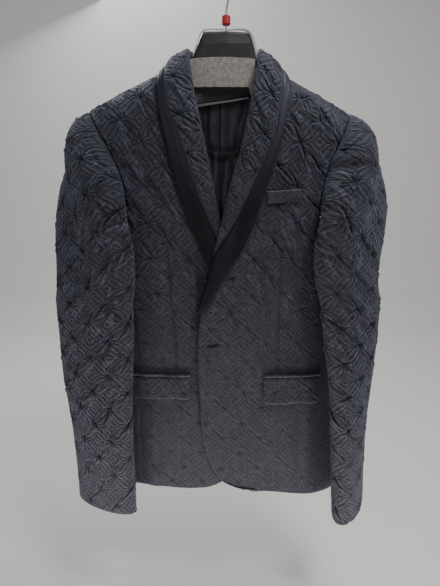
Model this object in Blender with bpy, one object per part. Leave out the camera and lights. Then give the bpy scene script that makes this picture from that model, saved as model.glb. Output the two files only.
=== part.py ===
"""Evening blazer in a puckered star-and-diamond jacquard, hanging on its moulded hanger.

Units are metres and +Z is up. The front faces -Y, and the origin is the inside top of the
hanger's hook. Left and right are the wearer's, so the right side lies on -X.
Each cloth piece is a closed wall whose outer points carry the puckered relief.
"""

import math

import bmesh
import bpy
import numpy as np

# ---- Driving sizes
JACQUARD = 0.0016          # cloth with its fusing
SATIN = 0.0012
LINING = 0.0010
SEAM = 0.0003              # half the gap that is kept between neighbouring pieces
CELL_WIDE = 0.068          # one repeat of the stars, across and down
CELL_HIGH = 0.063
PUCKER = 0.0009            # half the height of the relief
EDGE_POINTS = 40           # points of a panel's curved edge before it is spaced evenly
GRID = 0.0175              # spacing of the outer points, a quarter of a repeat
FRONT_STAR = (0.006, -0.345)           # x and z of one star on the fronts
UNDER_LAPEL = (-0.002, 0.012)          # the relief starts over this, past the lapel's edge
UNDER_COLLAR = (-0.185, -0.165)        # and over these heights below the collar at the back
FULL_ABOVE = (-0.70, -0.42)            # heights over which the relief grows fuller
LOW_RELIEF = 0.45                      # relief near the hem and on the flaps

RIDGE = 0.050              # how far down the cloth turns over the shoulder
RIDGE_ARC = RIDGE * math.pi / 2
NECK_X = 0.0925            # the shoulder line, at the collar's edge
NECK_Z = -0.1530
SHOULDER_X = 0.205         # the shoulder line, at the armhole
ROUND = 2.4                # how square the body's plan is
HEM_Z = -0.829
HEM_TILT = 0.040           # the hem drops towards the wearer's left
HEM_DROOP = 0.012          # and sags further near the left side seam
SEAM_NECK_X = 0.070        # where the shoulder seam starts, under the collar
BACK_NECK_Z = -0.152
NECKLINE = (0.35, 0.65, 0.85)          # points of the back neckline, as shares of its width

ROLL = 0.0040              # how far the fold at the roll line takes to turn over
RISE = 0.0044              # the facing's height over the fold's middle, outside and inside
LEG = 0.014                # width of the lapel facing turned inside at the roll line
TUCK = 0.0060              # the front's own edge stops this far inside the fold
NECK_TUCK = 0.0050         # and this much further in at the neck
BAND_STEP = 0.0007         # closest spacing of a facing's columns
SATIN_TURN = 0.0042        # how far the satin turns inside once it covers the whole lapel
SWELL = 0.0030             # how full the facing is between its fold and its edge
NECK_LIFT = 0.0052         # the collar's outer edge stands this far off the body
FACING_ROWS = 27           # stations along the jacquard facing, and along the satin tip
TIP_ROWS = 6
CLOSE_ROWS = 4             # stations lie closer where the facing narrows round the fold
CLOSE_SPAN = 0.020

SIGN = {"right": -1, "left": 1}
SLOPE = {"right": 0.485, "left": 0.545}      # fall of each shoulder line
HUG = {"right": 2.2, "left": -2.5}         # degrees the front armhole lies nearer the middle


def table(columns, *rows):
    """A short table: the name of each column, then a row for each section."""
    return dict(zip(columns.split(), np.array(rows, float).T))


TORSO = table(
    "z         width   front   back",
    (-0.850,   0.211,  0.062,  0.060),
    (-0.760,   0.205,  0.064,  0.060),
    (-0.640,   0.194,  0.066,  0.055),
    (-0.540,   0.191,  0.067,  0.053),
    (-0.440,   0.201,  0.068,  0.060),
    (-0.340,   0.212,  0.067,  0.067),
    (-0.260,   0.224,  0.060,  0.066),
    (-0.200,   0.234,  0.047,  0.056),
    (-0.150,   0.240,  0.034,  0.044),
    (-0.080,   0.240,  0.026,  0.036),
)

# Once round the armhole, from the shoulder down the front and up the back.
ARMHOLE = table(
    "turn  swing   z",
    (0,     32.0, -0.2105),
    (30,    38.5, -0.244),
    (60,    45.5, -0.285),
    (90,    49.3, -0.327),
    (120,   48.6, -0.370),
    (145,   43.0, -0.399),
    (180,    0.0, -0.424),
    (215,  -42.0, -0.394),
    (240,  -46.5, -0.360),
    (270,  -47.0, -0.318),
    (300,  -44.0, -0.279),
    (330,  -38.5, -0.243),
    (360,  -32.0, -0.2105),
)
FRONT_SEAM_TURN = 145
BACK_SEAM_TURN = 215

SEAM_BLEND = 0.16          # the side seams leave the armhole over this height
SIDE_WIDE = 0.17           # the side panel, round the body and down
SIDE_HIGH = 0.43
# Where the side panel meets the front and the back.
SIDE_SEAMS = {
    "right": table(
        "z        front_x  back_x",
        (-0.850,  0.1340,  0.160),
        (-0.670,  0.1325,  0.152),
        (-0.540,  0.1360,  0.148),
        (-0.390,  0.1525,  0.1555),
    ),
    "left": table(
        "z        front_x  back_x",
        (-0.850,  0.1660,  0.160),
        (-0.670,  0.1640,  0.152),
        (-0.540,  0.1600,  0.148),
        (-0.390,  0.1535,  0.1555),
    ),
}

# The collar round the neck, from the middle of the back to where it lies on the front.
# edge_drop is how far below the shoulder line its outer edge lies, on the back (face 1)
# or the front (face -1). stand_x, _y and _z are the foot of the stand, inside the neck.
NECK = table(
    "roll_x  roll_y   roll_z   edge_x  edge_drop face stand_x  stand_y  stand_z  band",
    (0.000,   0.0530, -0.1100, 0.000,   0.0610,  1,   0.000,    0.0475, -0.1470, 0.013),
    (0.020,   0.0505, -0.1105, 0.033,   0.0460,  1,   0.022,    0.0450, -0.1460, 0.013),
    (0.040,   0.0380, -0.1125, 0.066,   0.0300,  1,   0.044,    0.0340, -0.1430, 0.013),
    (0.0495,  0.0180, -0.1155, 0.0880,  0.0120,  1,   0.0555,   0.0180, -0.1370, 0.013),
    (0.0515,  0.0050, -0.1180, 0.0950,  0.0000,  1,   0.0580,   0.0060, -0.1365, 0.013),
    (0.0520, -0.0050, -0.1215, 0.0985,  0.0035, -1,   0.0585,  -0.0030, -0.1370, 0.012),
    (0.0505, -0.0225, -0.1390, 0.0995,  0.0135, -1,   0.0590,  -0.0160, -0.1480, 0.012),
)
NECK_SHIFT = 0.0055        # the collar sits a little towards the wearer's left
# The lapel, down the front to its tip: x and z of the roll line and of the outer edge.
LAPEL = {
    "left": table(
        "roll_x   roll_z   edge_x   edge_z   lift    band",
        (0.0505, -0.1650,  0.1043, -0.1900,  0.0050, 0.0120),
        (0.0446, -0.2020,  0.0985, -0.2130,  0.0055, 0.0115),
        (0.0375, -0.2400,  0.0930, -0.2440,  0.0060, 0.0105),
        (0.0270, -0.2830,  0.0810, -0.2840,  0.0060, 0.0145),
        (0.0143, -0.3264,  0.0676, -0.3250,  0.0060, 0.0195),
        (0.0030, -0.3740,  0.0510, -0.3750,  0.0055, 0.0270),
        (-0.0070, -0.4130, 0.0335, -0.4150,  0.0055, 0.0344),
        (-0.0130, -0.4400, 0.0180, -0.4400,  0.0055, 0.0380),
        (-0.0205, -0.4680, 0.0010, -0.4665,  0.0055, 0.0420),
        (-0.0290, -0.4960, -0.0130, -0.4940, 0.0055, 0.0460),
        (-0.0350, -0.5150, -0.0240, -0.5130, 0.0055, 0.0500),
    ),
    "right": table(
        "roll_x   roll_z   edge_x   edge_z   lift    band",
        (0.0425, -0.1560,  0.0935, -0.1850,  0.0060, 0.012),
        (0.0360, -0.1960,  0.0890, -0.2150,  0.0065, 0.012),
        (0.0275, -0.2360,  0.0810, -0.2500,  0.0070, 0.016),
        (0.0183, -0.2793,  0.0720, -0.2900,  0.0070, 0.020),
        (0.0098, -0.3240,  0.0615, -0.3290,  0.0065, 0.024),
        (0.0010, -0.3700,  0.0480, -0.3690,  0.0045, 0.028),
        (-0.0090, -0.4100, 0.0310, -0.4110,  0.0035, 0.030),
        (-0.0180, -0.4430, 0.0160, -0.4440,  0.0030, 0.029),
        (-0.0270, -0.4750, -0.0010, -0.4750, 0.0028, 0.020),
        (-0.0340, -0.5020, -0.0170, -0.5020, 0.0026, 0.013),
    ),
}

# Front edges below the lapel. Measured across from the middle, towards the other side.
FRONT_EDGE = {
    "left": table(
        "over     z",
        (0.0360, -0.5175),
        (0.0345, -0.5700),
        (0.0330, -0.6630),
        (0.0280, -0.7340),
        (0.0180, -0.7720),
        (0.0030, -0.8010),
        (-0.0250, -0.8190),
        (-0.0600, -0.8270),
    ),
    "right": table(
        "over     z",
        (0.0400, -0.5150),
        (0.0420, -0.5700),
        (0.0430, -0.6630),
        (0.0380, -0.7340),
        (0.0280, -0.7720),
        (0.0100, -0.8080),
        (-0.0160, -0.8230),
        (-0.0500, -0.8270),
    ),
}
# How far the left front stands out over the right one, near the middle.
OVERLAP = table(
    "z        out",
    (-0.830,  0.0032),
    (-0.640,  0.0040),
    (-0.560,  0.0075),
    (-0.510,  0.0110),
    (-0.400,  0.0105),
    (-0.350,  0.0070),
    (-0.290,  0.0010),
    (-0.240,  0.0000),
)
OVERLAP_SOLID = 0.030      # full as far out as this, and gone at the next
OVERLAP_GONE = 0.095

# Soft upright folds: place, half width, depth (out is positive), top and bottom.
FOLDS = table(
    "x        wide    depth    top     bottom",
    (0.148,   0.008,  0.0035, -0.640, -0.860),
    (0.132,   0.008, -0.0020, -0.660, -0.860),
    (-0.112,  0.009,  0.0030, -0.660, -0.860),
    (-0.092,  0.012, -0.0020, -0.560, -0.800),
    (0.105,   0.016,  0.0020, -0.420, -0.600),
    (-0.112,  0.016,  0.0020, -0.300, -0.420),
)

# Free part of the sleeves: the edge nearest the middle, the outer edge, half the thickness.
SLEEVE = {
    "right": table(
        "z        inner_x  inner_y  outer_x  outer_y  thick",
        (-0.870,  0.1405,  -0.084,  0.2430,  -0.048,  0.0200),
        (-0.800,  0.1400,  -0.084,  0.2435,  -0.047,  0.0200),
        (-0.710,  0.1410,  -0.083,  0.2490,  -0.044,  0.0205),
        (-0.630,  0.1385,  -0.081,  0.2590,  -0.040,  0.0215),
        (-0.560,  0.1350,  -0.080,  0.2625,  -0.036,  0.0225),
        (-0.500,  0.1340,  -0.080,  0.2645,  -0.035,  0.0230),
    ),
    "left": table(
        "z        inner_x  inner_y  outer_x  outer_y  thick",
        (-0.870,  0.1950,  -0.098,  0.2410,  -0.030,  0.0230),
        (-0.800,  0.1905,  -0.098,  0.2395,  -0.029,  0.0230),
        (-0.710,  0.1820,  -0.097,  0.2420,  -0.028,  0.0235),
        (-0.630,  0.1740,  -0.094,  0.2500,  -0.029,  0.0235),
        (-0.560,  0.1625,  -0.089,  0.2560,  -0.030,  0.0240),
        (-0.500,  0.1550,  -0.085,  0.2580,  -0.031,  0.0240),
    ),
}
CUFF = {"right": (-0.855, -0.845), "left": (-0.868, -0.843)}   # z at the inner and outer edges
# How the sleeve head leaves the armhole: out, forward and down, and how far.
HEAD = table(
    "turn  out    forward  down",
    (0,    0.285,  0.010,  0.085),
    (45,   0.170,  0.100,  0.070),
    (90,   0.015,  0.110,  0.070),
    (135,  0.025,  0.080,  0.080),
    (180,  0.140,  0.020,  0.070),
    (225,  0.210, -0.060,  0.080),
    (270,  0.520, -0.060,  0.070),
    (315,  0.520, -0.045,  0.075),
    (360,  0.285,  0.010,  0.085),
)
FULL = {"right": 0.92, "left": 1.10}        # how full each sleeve head is
HEAD_END = 0.260           # strength of the downward pull where the head joins the tube
HEAD_DRAW = {"right": 0.050, "left": 0.090}   # and how far it draws in on the way there
SLEEVE_GAP = 0.0044        # the sleeve starts this far outside the armhole
SLEEVE_PROUD = 0.6         # and a little in front of it, or behind it
SEAM_TURN = 0.35           # half the gap between its two pieces, as a turn round it
SLEEVE_GIRTH = 0.34
SLEEVE_PUCKER = 1.15       # relief of the sleeves against the body's
ROUND_STEP = 3             # half the turn used to find which way is round the sleeve
FRONT_FOLD = 118           # the sleeve's front seam and back seam, as turns round it
BACK_FOLD = 236

# Flap pockets: the ends, the top and bottom at the inner end, and how far the outer end falls.
POCKETS = {
    "right": dict(inner=0.0478, outer=0.1480, top=-0.6187, bottom=-0.6612, fall=0.0025),
    "left": dict(inner=0.0705, outer=0.1660, top=-0.6196, bottom=-0.6694, fall=0.0056),
}
JET_HIGH = 0.0045
JET_OUT = 0.0050           # from the front's points out to each small piece's
FLAP_OUT = 0.0052
WELT_OUT = 0.0054
WELT = dict(inner=0.0700, outer=0.1215, top=-0.3325, height=0.0185, rise=0.070)

# Back lining: half its width, its upper edge, and how far it stays from the hem and the back.
LINING_HALF = 0.140
LINING_TOP = table(
    "x       z",
    (0.000, -0.158),
    (0.060, -0.158),
    (0.140, -0.205),
)
LINING_HEM = 0.018
LINING_INSIDE = 0.0052
LINING_SLACK = 0.002

# Hanger
WIRE = 0.0016              # radius of the hook's wire
HOOK_RADIUS = 0.0215       # inside radius of the hook
SHANK_X = 0.0100
RING_TOP = -0.0710
RING_BOTTOM = -0.0835
RING_RADIUS = 0.0066
# Upright sections of the hanger's neck.
HANGER_NECK = table(
    "x        top      bottom   deep",
    (-0.0520, -0.1560, -0.200,  0.0125),
    (-0.0420, -0.1300, -0.2035, 0.0120),
    (-0.0355, -0.1120, -0.2025, 0.0118),
    (-0.0265, -0.0925, -0.2000, 0.0115),
    (0.0100,  -0.0920, -0.1950, 0.0115),
    (0.0455,  -0.0940, -0.1890, 0.0115),
    (0.0535,  -0.1160, -0.1885, 0.0120),
    (0.0590,  -0.1425, -0.1885, 0.0120),
)
ARM_CLEAR = 0.0072         # from the outside of the cloth in to the hanger
ARM_X = (0.075, 0.190)     # start and tip of each arm
ARM_HIGH = 0.034
ARM_DEEP = 0.0145          # half the arm's depth near the neck
ARM_SPREAD = 0.0050        # and how much deeper it is past the second of these
SPREAD_X = (0.07, 0.15)
TIP_LONG = 0.015           # the arm's rounded tip: its length, and how far it shrinks
TIP_DROP = 0.004
TIP_HIGH = 0.008
TIP_DEEP = 0.006
ARM_SECTIONS = 8
SHANK = (                  # x from the shank's middle, and z, up to the hook
    (-0.0012, -0.0912),
    (-0.0006, -0.0720),
    (0.0000, -0.0600),
    (0.0020, -0.0500),
)
RING_BORE = 0.0016         # room round the wire
RING_BEVEL = 0.001
FELT_X = (-0.0450, 0.0520) # ends of the felt strip
FELT_Y = -0.0160
FELT_TOP = -0.1335
FELT_BOTTOM = -0.1755
FELT_BEND = 0.0015         # its ends lie this far back, and this much lower
FELT_SAG = 0.0020
FELT_TAIL = 0.026          # the narrow tail at its left end
FELT_TAIL_WIDE = 0.006
FELT_WALL = 0.0025
LIP_X = (-0.0400, 0.0440)  # ends of the lip on the hanger's lower edge
LIP_Y = -0.0066
LIP_BELOW = 0.0010
LIP_HIGH = (0.0042, 0.0022)
LIP_WALL = 0.0020

COLOURS = {                # base colour, roughness, metallic
    "jacquard": ((0.030, 0.036, 0.050), 0.62, 0.0),
    "satin": ((0.012, 0.013, 0.016), 0.38, 0.0),
    "lining": ((0.010, 0.010, 0.014), 0.45, 0.0),
    "plastic": ((0.020, 0.020, 0.022), 0.40, 0.0),
    "wire": ((0.62, 0.60, 0.56), 0.28, 1.0),
    "red_ring": ((0.42, 0.02, 0.03), 0.42, 0.0),
    "lip": ((0.30, 0.29, 0.28), 0.35, 0.0),
    "felt": ((0.36, 0.33, 0.30), 0.92, 0.0),
}


# ---- Curves and surfaces
def read(columns, key, name, at):
    """A column of a table as a smooth curve along its key column."""
    order = np.argsort(columns[key])
    keys = columns[key][order]
    values = columns[name][order]
    step = np.diff(keys)
    slope = np.diff(values) / step
    tangent = np.concatenate([slope[:1], (slope[:-1] + slope[1:]) / 2, slope[-1:]])
    at = np.clip(at, keys[0], keys[-1])
    i = np.clip(np.searchsorted(keys, at, side="right") - 1, 0, len(step) - 1)
    t = (at - keys[i]) / step[i]
    rise = t * t * (3 - 2 * t)
    start = t * (1 - t) ** 2 * step[i] * tangent[i]
    end = t * t * (t - 1) * step[i] * tangent[i + 1]
    return values[i] * (1 - rise) + values[i + 1] * rise + start + end


def fade(value, low, high):
    """0 below low and 1 above high, smooth between."""
    t = np.clip((value - low) / (high - low), 0, 1)
    return t * t * (3 - 2 * t)


def unit(vectors):
    return vectors / np.linalg.norm(vectors, axis=-1, keepdims=True)


def ridge_z(x, side):
    """Height of the shoulder line."""
    return NECK_Z - SLOPE[side] * (np.abs(x) - NECK_X)


def drop_to_run(drop):
    """Distance along the cloth from the shoulder line, for a drop below it."""
    turn = RIDGE * np.arccos(np.clip(1 - drop / RIDGE, -1, 1))
    return np.where(drop < RIDGE, turn, drop - RIDGE + RIDGE_ARC)


def plan(x, z, face):
    """Depth of the body at a height, before the shoulder rounds it off."""
    width = read(TORSO, "z", "width", z)
    deep = read(TORSO, "z", "front" if face < 0 else "back", z)
    share = np.clip(np.abs(x) / width, 0, 1)
    return face * deep * (1 - share ** ROUND) ** (1 / ROUND)


def folds(x, z):
    """Depth of the soft upright folds of the front."""
    total = 0
    for place, wide, depth, top, bottom in zip(*FOLDS.values()):
        ends = fade(z, bottom, bottom + 0.06) * (1 - fade(z, top - 0.06, top))
        total = total + depth * ends * np.exp(-((x - place) / wide) ** 2)
    return total


def overlap(x, z, side):
    """How far a front stands out where the fronts cross, or sinks on the right one."""
    near = 1 - fade(x * SIGN[side], OVERLAP_SOLID, OVERLAP_GONE)
    out = read(OVERLAP, "z", "out", z)
    return near * out if side == "left" else -near * 0.25 * out


def body(x, z, side, face, out=0.0):
    """Points of the body's outside, for x on its own side, moved out by a distance."""
    drop = np.maximum(ridge_z(x, side) - z, 0)
    turn = np.arccos(np.clip(1 - drop / RIDGE, 0, 1))
    y = plan(x, z, face) * np.sin(turn)
    if face < 0:
        y = y - (folds(x, z) + overlap(x, z, side)) * np.sin(turn)
    points = np.stack([x, y, z], -1)
    lean = np.stack([0 * x, face * np.sin(turn), np.cos(turn)], -1)
    return points + np.asarray(out)[..., None] * lean


def coons(top, bottom, inner, outer):
    """A grid between four edges; rows run from top to bottom."""
    v = np.linspace(0, 1, len(inner))[:, None, None]
    u = np.linspace(0, 1, len(top))[None, :, None]
    across = (1 - u) * inner[:, None] + u * outer[:, None]
    down = (1 - v) * top[None] + v * bottom[None]
    upper = (1 - u) * top[0] + u * top[-1]
    lower = (1 - u) * bottom[0] + u * bottom[-1]
    return across + down - (1 - v) * upper - v * lower


def resample(points, count):
    """The same path with evenly spaced points."""
    lengths = np.linalg.norm(np.diff(points, axis=0), axis=1)
    along = np.concatenate([[0], np.cumsum(lengths)])
    at = np.linspace(0, along[-1], count)
    return np.stack([np.interp(at, along, column) for column in points.T], -1)


def pucker(across, down, scale=1.0):
    """Relief of the cloth: pinched at the stars and puffed at the diamonds between them."""
    wave = np.cos(2 * math.pi * across / CELL_WIDE) * np.cos(2 * math.pi * down / CELL_HIGH)
    return PUCKER * scale * (1 - wave)


def flatter_below(z):
    """The relief is fuller on the chest than near the hem."""
    return LOW_RELIEF + (1 - LOW_RELIEF) * fade(z, *FULL_ABOVE)


def even(length, spacing):
    """An odd number of points, so that every other one falls on both ends."""
    return 2 * max(1, round(length / spacing / 2)) + 1


# ---- Building the walls
def wall(name, grid, finish, thickness, relief=None, step=(2, 2), facing=1, across=None):
    """A closed wall. The outer points carry the relief; the inside is plain and coarser."""
    order = 2 if min(grid.shape[:2]) > 2 else 1
    down = np.gradient(grid, axis=0, edge_order=order)
    if across is None:
        across = np.gradient(grid, axis=1, edge_order=order)
    normal = facing * unit(np.cross(down, across))
    outer = grid if relief is None else grid + relief[..., None] * normal
    inner = (grid - thickness * normal)[::step[0], ::step[1]]
    shape = bmesh.new()
    front = [[shape.verts.new(p) for p in row] for row in outer]
    back = [[shape.verts.new(p) for p in row] for row in inner]
    for sheet in (front, back):
        for upper, lower in zip(sheet, sheet[1:]):
            for a, b, c, d in zip(upper, upper[1:], lower[1:], lower):
                shape.faces.new((a, b, c, d))
    edges = [
        (front[0], back[0], step[1]),
        (front[-1], back[-1], step[1]),
        ([row[0] for row in front], [row[0] for row in back], step[0]),
        ([row[-1] for row in front], [row[-1] for row in back], step[0]),
    ]
    for rim, lining, stride in edges:
        half = stride // 2
        for k, (a, b) in enumerate(zip(lining, lining[1:])):
            points = rim[k * stride:(k + 1) * stride + 1]
            near = [(*pair, a) for pair in zip(points[:half], points[1:half + 1])]
            far = [(*pair, b) for pair in zip(points[half:], points[half + 1:])]
            for corners in near + far + [(points[half], b, a)]:
                shape.faces.new(corners)
    bmesh.ops.triangulate(shape, faces=shape.faces[:])
    finish_piece(name, shape, finish)


def finish_piece(name, shape, finish, sharp=35):
    """Turn a bmesh into a named object with its own finish."""
    bmesh.ops.recalc_face_normals(shape, faces=shape.faces[:])
    if shape.calc_volume(signed=True) < 0:
        bmesh.ops.reverse_faces(shape, faces=shape.faces[:])
    mesh = bpy.data.meshes.new(name)
    shape.to_mesh(mesh)
    shape.free()
    mesh.shade_smooth()
    mesh.set_sharp_from_angle(angle=math.radians(sharp))
    colour, roughness, metallic = COLOURS[finish]
    material = bpy.data.materials.new(name)
    material.use_nodes = True
    shader = material.node_tree.nodes["Principled BSDF"]
    shader.inputs["Base Color"].default_value = (*colour, 1)
    shader.inputs["Roughness"].default_value = roughness
    shader.inputs["Metallic"].default_value = metallic
    mesh.materials.append(material)
    bpy.context.collection.objects.link(bpy.data.objects.new(name, mesh))


def patch(side, face, edges, spacing=GRID):
    """A panel of the body from its four edges, each given as x and z."""
    flat = []
    for edge in edges:
        path = np.array(edge, float)
        run = drop_to_run(np.maximum(ridge_z(path[:, 0], side) - path[:, 1], 0))
        flat.append(np.stack([path[:, 0], run], -1))
    lengths = [np.linalg.norm(np.diff(e, axis=0), axis=1).sum() for e in flat]
    columns = even(max(lengths[:2]), spacing)
    rows = even((lengths[2] + lengths[3]) / 2, spacing)
    top, bottom = resample(flat[0], columns), resample(flat[1], columns)
    inner, outer = resample(flat[2], rows), resample(flat[3], rows)
    grid = coons(top, bottom, inner, outer)
    x, run = grid[..., 0], grid[..., 1]
    turn = np.minimum(run / RIDGE, math.pi / 2)
    drop = RIDGE * (1 - np.cos(turn)) + np.maximum(run - RIDGE_ARC, 0)
    z = ridge_z(x, side) - drop
    return x, z, body(x, z, side, face)


def armhole_swing(side, turn):
    """Degrees from straight out to a point of the armhole; forwards is positive."""
    swing = read(ARMHOLE, "turn", "swing", turn)
    return swing + HUG[side] * np.clip(np.sin(np.radians(turn)), 0, 1)


def armhole(side, turn):
    """Points round the armhole, on the outside of the body."""
    turn = np.asarray(turn, float)
    z = read(ARMHOLE, "turn", "z", turn)
    swing = armhole_swing(side, turn)
    width = read(TORSO, "z", "width", z)
    x = SIGN[side] * width * np.cos(np.radians(swing)) ** (2 / ROUND)
    face = np.where(swing > 0, -1, 1)
    front, back = body(x, z, side, -1), body(x, z, side, 1)
    return np.where(face[:, None] < 0, front, back)


def hem_z(x):
    return HEM_Z - HEM_TILT * x - HEM_DROOP * fade(x, 0.06, 0.17)


def side_seam(side, which, z):
    """Where the front or the back meets the side panel; it starts at the armhole."""
    turn = FRONT_SEAM_TURN if which == "front_x" else BACK_SEAM_TURN
    start = armhole(side, [turn])[0]
    low = SIGN[side] * read(SIDE_SEAMS[side], "z", which, z)
    return start[0] + (low - start[0]) * fade(start[2] - z, 0.0, SEAM_BLEND)


def hem_corner(side, which):
    """Height of the hem where the side panel meets the front or the back."""
    return float(hem_z(side_seam(side, which, np.array(HEM_Z))))


def neck_corner(side):
    """Where the shoulder seam starts at the neck, which sits a little to one side."""
    return SEAM_NECK_X + SIGN[side] * NECK_SHIFT


def seam_top(x, side):
    """Height of a panel's edge along the shoulder seam."""
    return ridge_z(x, side) - RIDGE * (1 - math.cos(2 * SEAM / RIDGE))


# ---- Panels
def front_panel(side):
    """Front: shoulder seam, roll line and front edge, armhole and side seam, and hem."""
    sign = SIGN[side]
    lapel, edge = LAPEL[side], FRONT_EDGE[side]
    neck_x = neck_corner(side)
    inner = [(sign * (neck_x + SEAM), 0)]
    for x, z in zip(lapel["roll_x"], lapel["roll_z"]):
        inner.append((sign * (x + TUCK + NECK_TUCK * fade(z, -0.200, -0.170)), z))
    inner += [(-sign * x, z) for x, z in zip(edge["over"][1:], edge["z"][1:])]
    turns = np.linspace(0, FRONT_SEAM_TURN, EDGE_POINTS)
    outer = [(p[0] - sign * SEAM, p[2]) for p in armhole(side, turns)]
    for z in np.linspace(outer[-1][1], hem_corner(side, "front_x"), EDGE_POINTS)[1:]:
        outer.append((side_seam(side, "front_x", z) - sign * SEAM, z))
    top = [(x, seam_top(x, side)) for x in np.linspace(inner[0][0], outer[0][0], 12)]
    inner[0], outer[0] = top[0], top[-1]
    bottom = [(x, hem_z(x)) for x in np.linspace(inner[-1][0], outer[-1][0], 8)]
    bottom[0], bottom[-1] = inner[-1], outer[-1]
    x, z, grid = patch(side, -1, (top, bottom, inner, outer))
    under = read(lapel, "edge_z", "edge_x", z)
    relief = pucker(x - FRONT_STAR[0], z - FRONT_STAR[1], flatter_below(z))
    relief = relief * fade(sign * x - under, *UNDER_LAPEL)
    wall(f"front_{side}", grid, "jacquard", JACQUARD, relief, facing=sign)


def back_panel(side):
    """Back: neckline and shoulder seam, middle seam, armhole and side seam, and hem."""
    sign = SIGN[side]
    neck_x = neck_corner(side)
    rise = seam_top(sign * neck_x, side) - BACK_NECK_Z
    middle = sign * SEAM
    neckline = [(middle, BACK_NECK_Z)]
    for share in NECKLINE:
        neckline.append((sign * neck_x * share, BACK_NECK_Z + rise * share ** 3))
    turns = np.linspace(360, BACK_SEAM_TURN, EDGE_POINTS)
    outer = [(p[0] - sign * SEAM, p[2]) for p in armhole(side, turns)]
    for z in np.linspace(outer[-1][1], hem_corner(side, "back_x"), EDGE_POINTS)[1:]:
        outer.append((side_seam(side, "back_x", z) - sign * SEAM, z))
    span = np.linspace(sign * neck_x, outer[0][0], 10)
    top = neckline + [(x, seam_top(x, side)) for x in span]
    outer[0] = top[-1]
    inner = [(middle, z) for z in np.linspace(BACK_NECK_Z, hem_z(0), 10)]
    bottom = [(x, hem_z(x)) for x in np.linspace(middle, outer[-1][0], 8)]
    bottom[-1] = outer[-1]
    x, z, grid = patch(side, 1, (top, bottom, inner, outer))
    relief = pucker(x, z - FRONT_STAR[1], flatter_below(z)) * (1 - fade(z, *UNDER_COLLAR))
    wall(f"back_{side}", grid, "jacquard", JACQUARD, relief, facing=-sign)


def side_grid(side, spacing):
    """The body's side, from the front seam round to the back seam."""
    sign = SIGN[side]
    columns = even(SIDE_WIDE, spacing)
    rows = even(SIDE_HIGH, spacing)
    share = np.linspace(0, 1, columns)
    turns = FRONT_SEAM_TURN + (BACK_SEAM_TURN - FRONT_SEAM_TURN) * share
    top = read(ARMHOLE, "turn", "z", turns)
    front, back = hem_corner(side, "front_x"), hem_corner(side, "back_x")
    bottom = front + (back - front) * share
    z = top + (bottom - top) * np.linspace(0, 1, rows)[:, None]
    width = read(TORSO, "z", "width", z)
    ends = []
    for which in ("front_x", "back_x"):
        seam = np.abs(side_seam(side, which, z)) + SEAM
        ends.append(np.arccos(np.clip(seam / width, 0, 1) ** (ROUND / 2)))
    start = armhole_swing(side, turns)
    start = (start[0] - start) / (start[0] - start[-1])
    part = start + (share - start) * fade(z[0] - z, 0.0, SEAM_BLEND)
    swing = ends[0] * (1 - part) - ends[1] * part
    x = sign * width * np.cos(swing) ** (2 / ROUND)
    face = np.where(swing > 0, -1, 1)[..., None]
    grid = np.where(face < 0, body(x, z, side, -1), body(x, z, side, 1))
    return share, z, grid


def side_panel(side):
    share, z, grid = side_grid(side, GRID)
    relief = pucker(share * SIDE_WIDE, z - FRONT_STAR[1], flatter_below(z))
    relief = relief * fade(z[0] - z, 0.0, 0.03)
    wall(f"side_{side}", grid, "jacquard", JACQUARD, relief, facing=SIGN[side])


# ---- Sleeves
def sleeve_ring(side, turn, z):
    """One level ring of the hanging sleeve."""
    sign, rows = SIGN[side], SLEEVE[side]
    inner = np.stack([read(rows, "z", "inner_x", z), read(rows, "z", "inner_y", z)], -1)
    outer = np.stack([read(rows, "z", "outer_x", z), read(rows, "z", "outer_y", z)], -1)
    thick = read(rows, "z", "thick", z)[..., None]
    centre = (inner + outer) / 2
    reach = (inner - outer) / 2
    across = unit(reach)
    front = np.stack([-across[..., 1], across[..., 0]], -1)
    sine, cosine = np.sin(turn)[..., None], np.cos(turn)[..., None]
    flat = centre + reach * sine + front * thick * cosine
    return np.stack([sign * flat[..., 0], flat[..., 1], z + 0 * flat[..., 0]], -1)


def sleeve_grid(side, turns, rows_head=12, rows_tube=20):
    """Sleeve points: rows from the armhole to the cuff, columns round it."""
    sign = SIGN[side]
    turn = np.radians(turns)
    start = armhole(side, turns)
    away = np.stack([sign + 0 * turn, -SLEEVE_PROUD * np.sin(turn), 0 * turn], -1)
    start = start + SLEEVE_GAP * unit(away)
    join = float(SLEEVE[side]["z"].max())
    end = sleeve_ring(side, turn, np.full(len(turns), join))
    leave = np.stack([
        sign * FULL[side] * read(HEAD, "turn", "out", turns),
        -read(HEAD, "turn", "forward", turns),
        -read(HEAD, "turn", "down", turns),
    ], -1)
    arrive = np.array([sign * HEAD_DRAW[side], 0, -HEAD_END])
    t = np.linspace(0, 1, rows_head)[:, None, None]
    rise = t * t * (3 - 2 * t)
    head = start * (1 - rise) + end * rise
    head = head + t * (1 - t) ** 2 * leave + t * t * (t - 1) * arrive
    low_inner, low_outer = CUFF[side]
    cuff = low_inner + (low_outer - low_inner) * (1 - np.sin(turn)) / 2
    share = np.linspace(0, 1, rows_tube)[1:, None]
    z = join + (cuff - join) * share
    tube = sleeve_ring(side, np.broadcast_to(turn, z.shape), z)
    return np.concatenate([head, tube])


def sleeve_relief(grid, girth):
    """Relief of a sleeve, in its own length and girth."""
    steps = np.linalg.norm(np.diff(grid, axis=0), axis=-1).mean(axis=1)
    down = np.concatenate([[0], np.cumsum(steps)])[:, None]
    return pucker(girth, down, SLEEVE_PUCKER) * fade(down, 0.0, 0.02) * fade(down[-1] - down, -0.01, 0.03)


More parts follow.
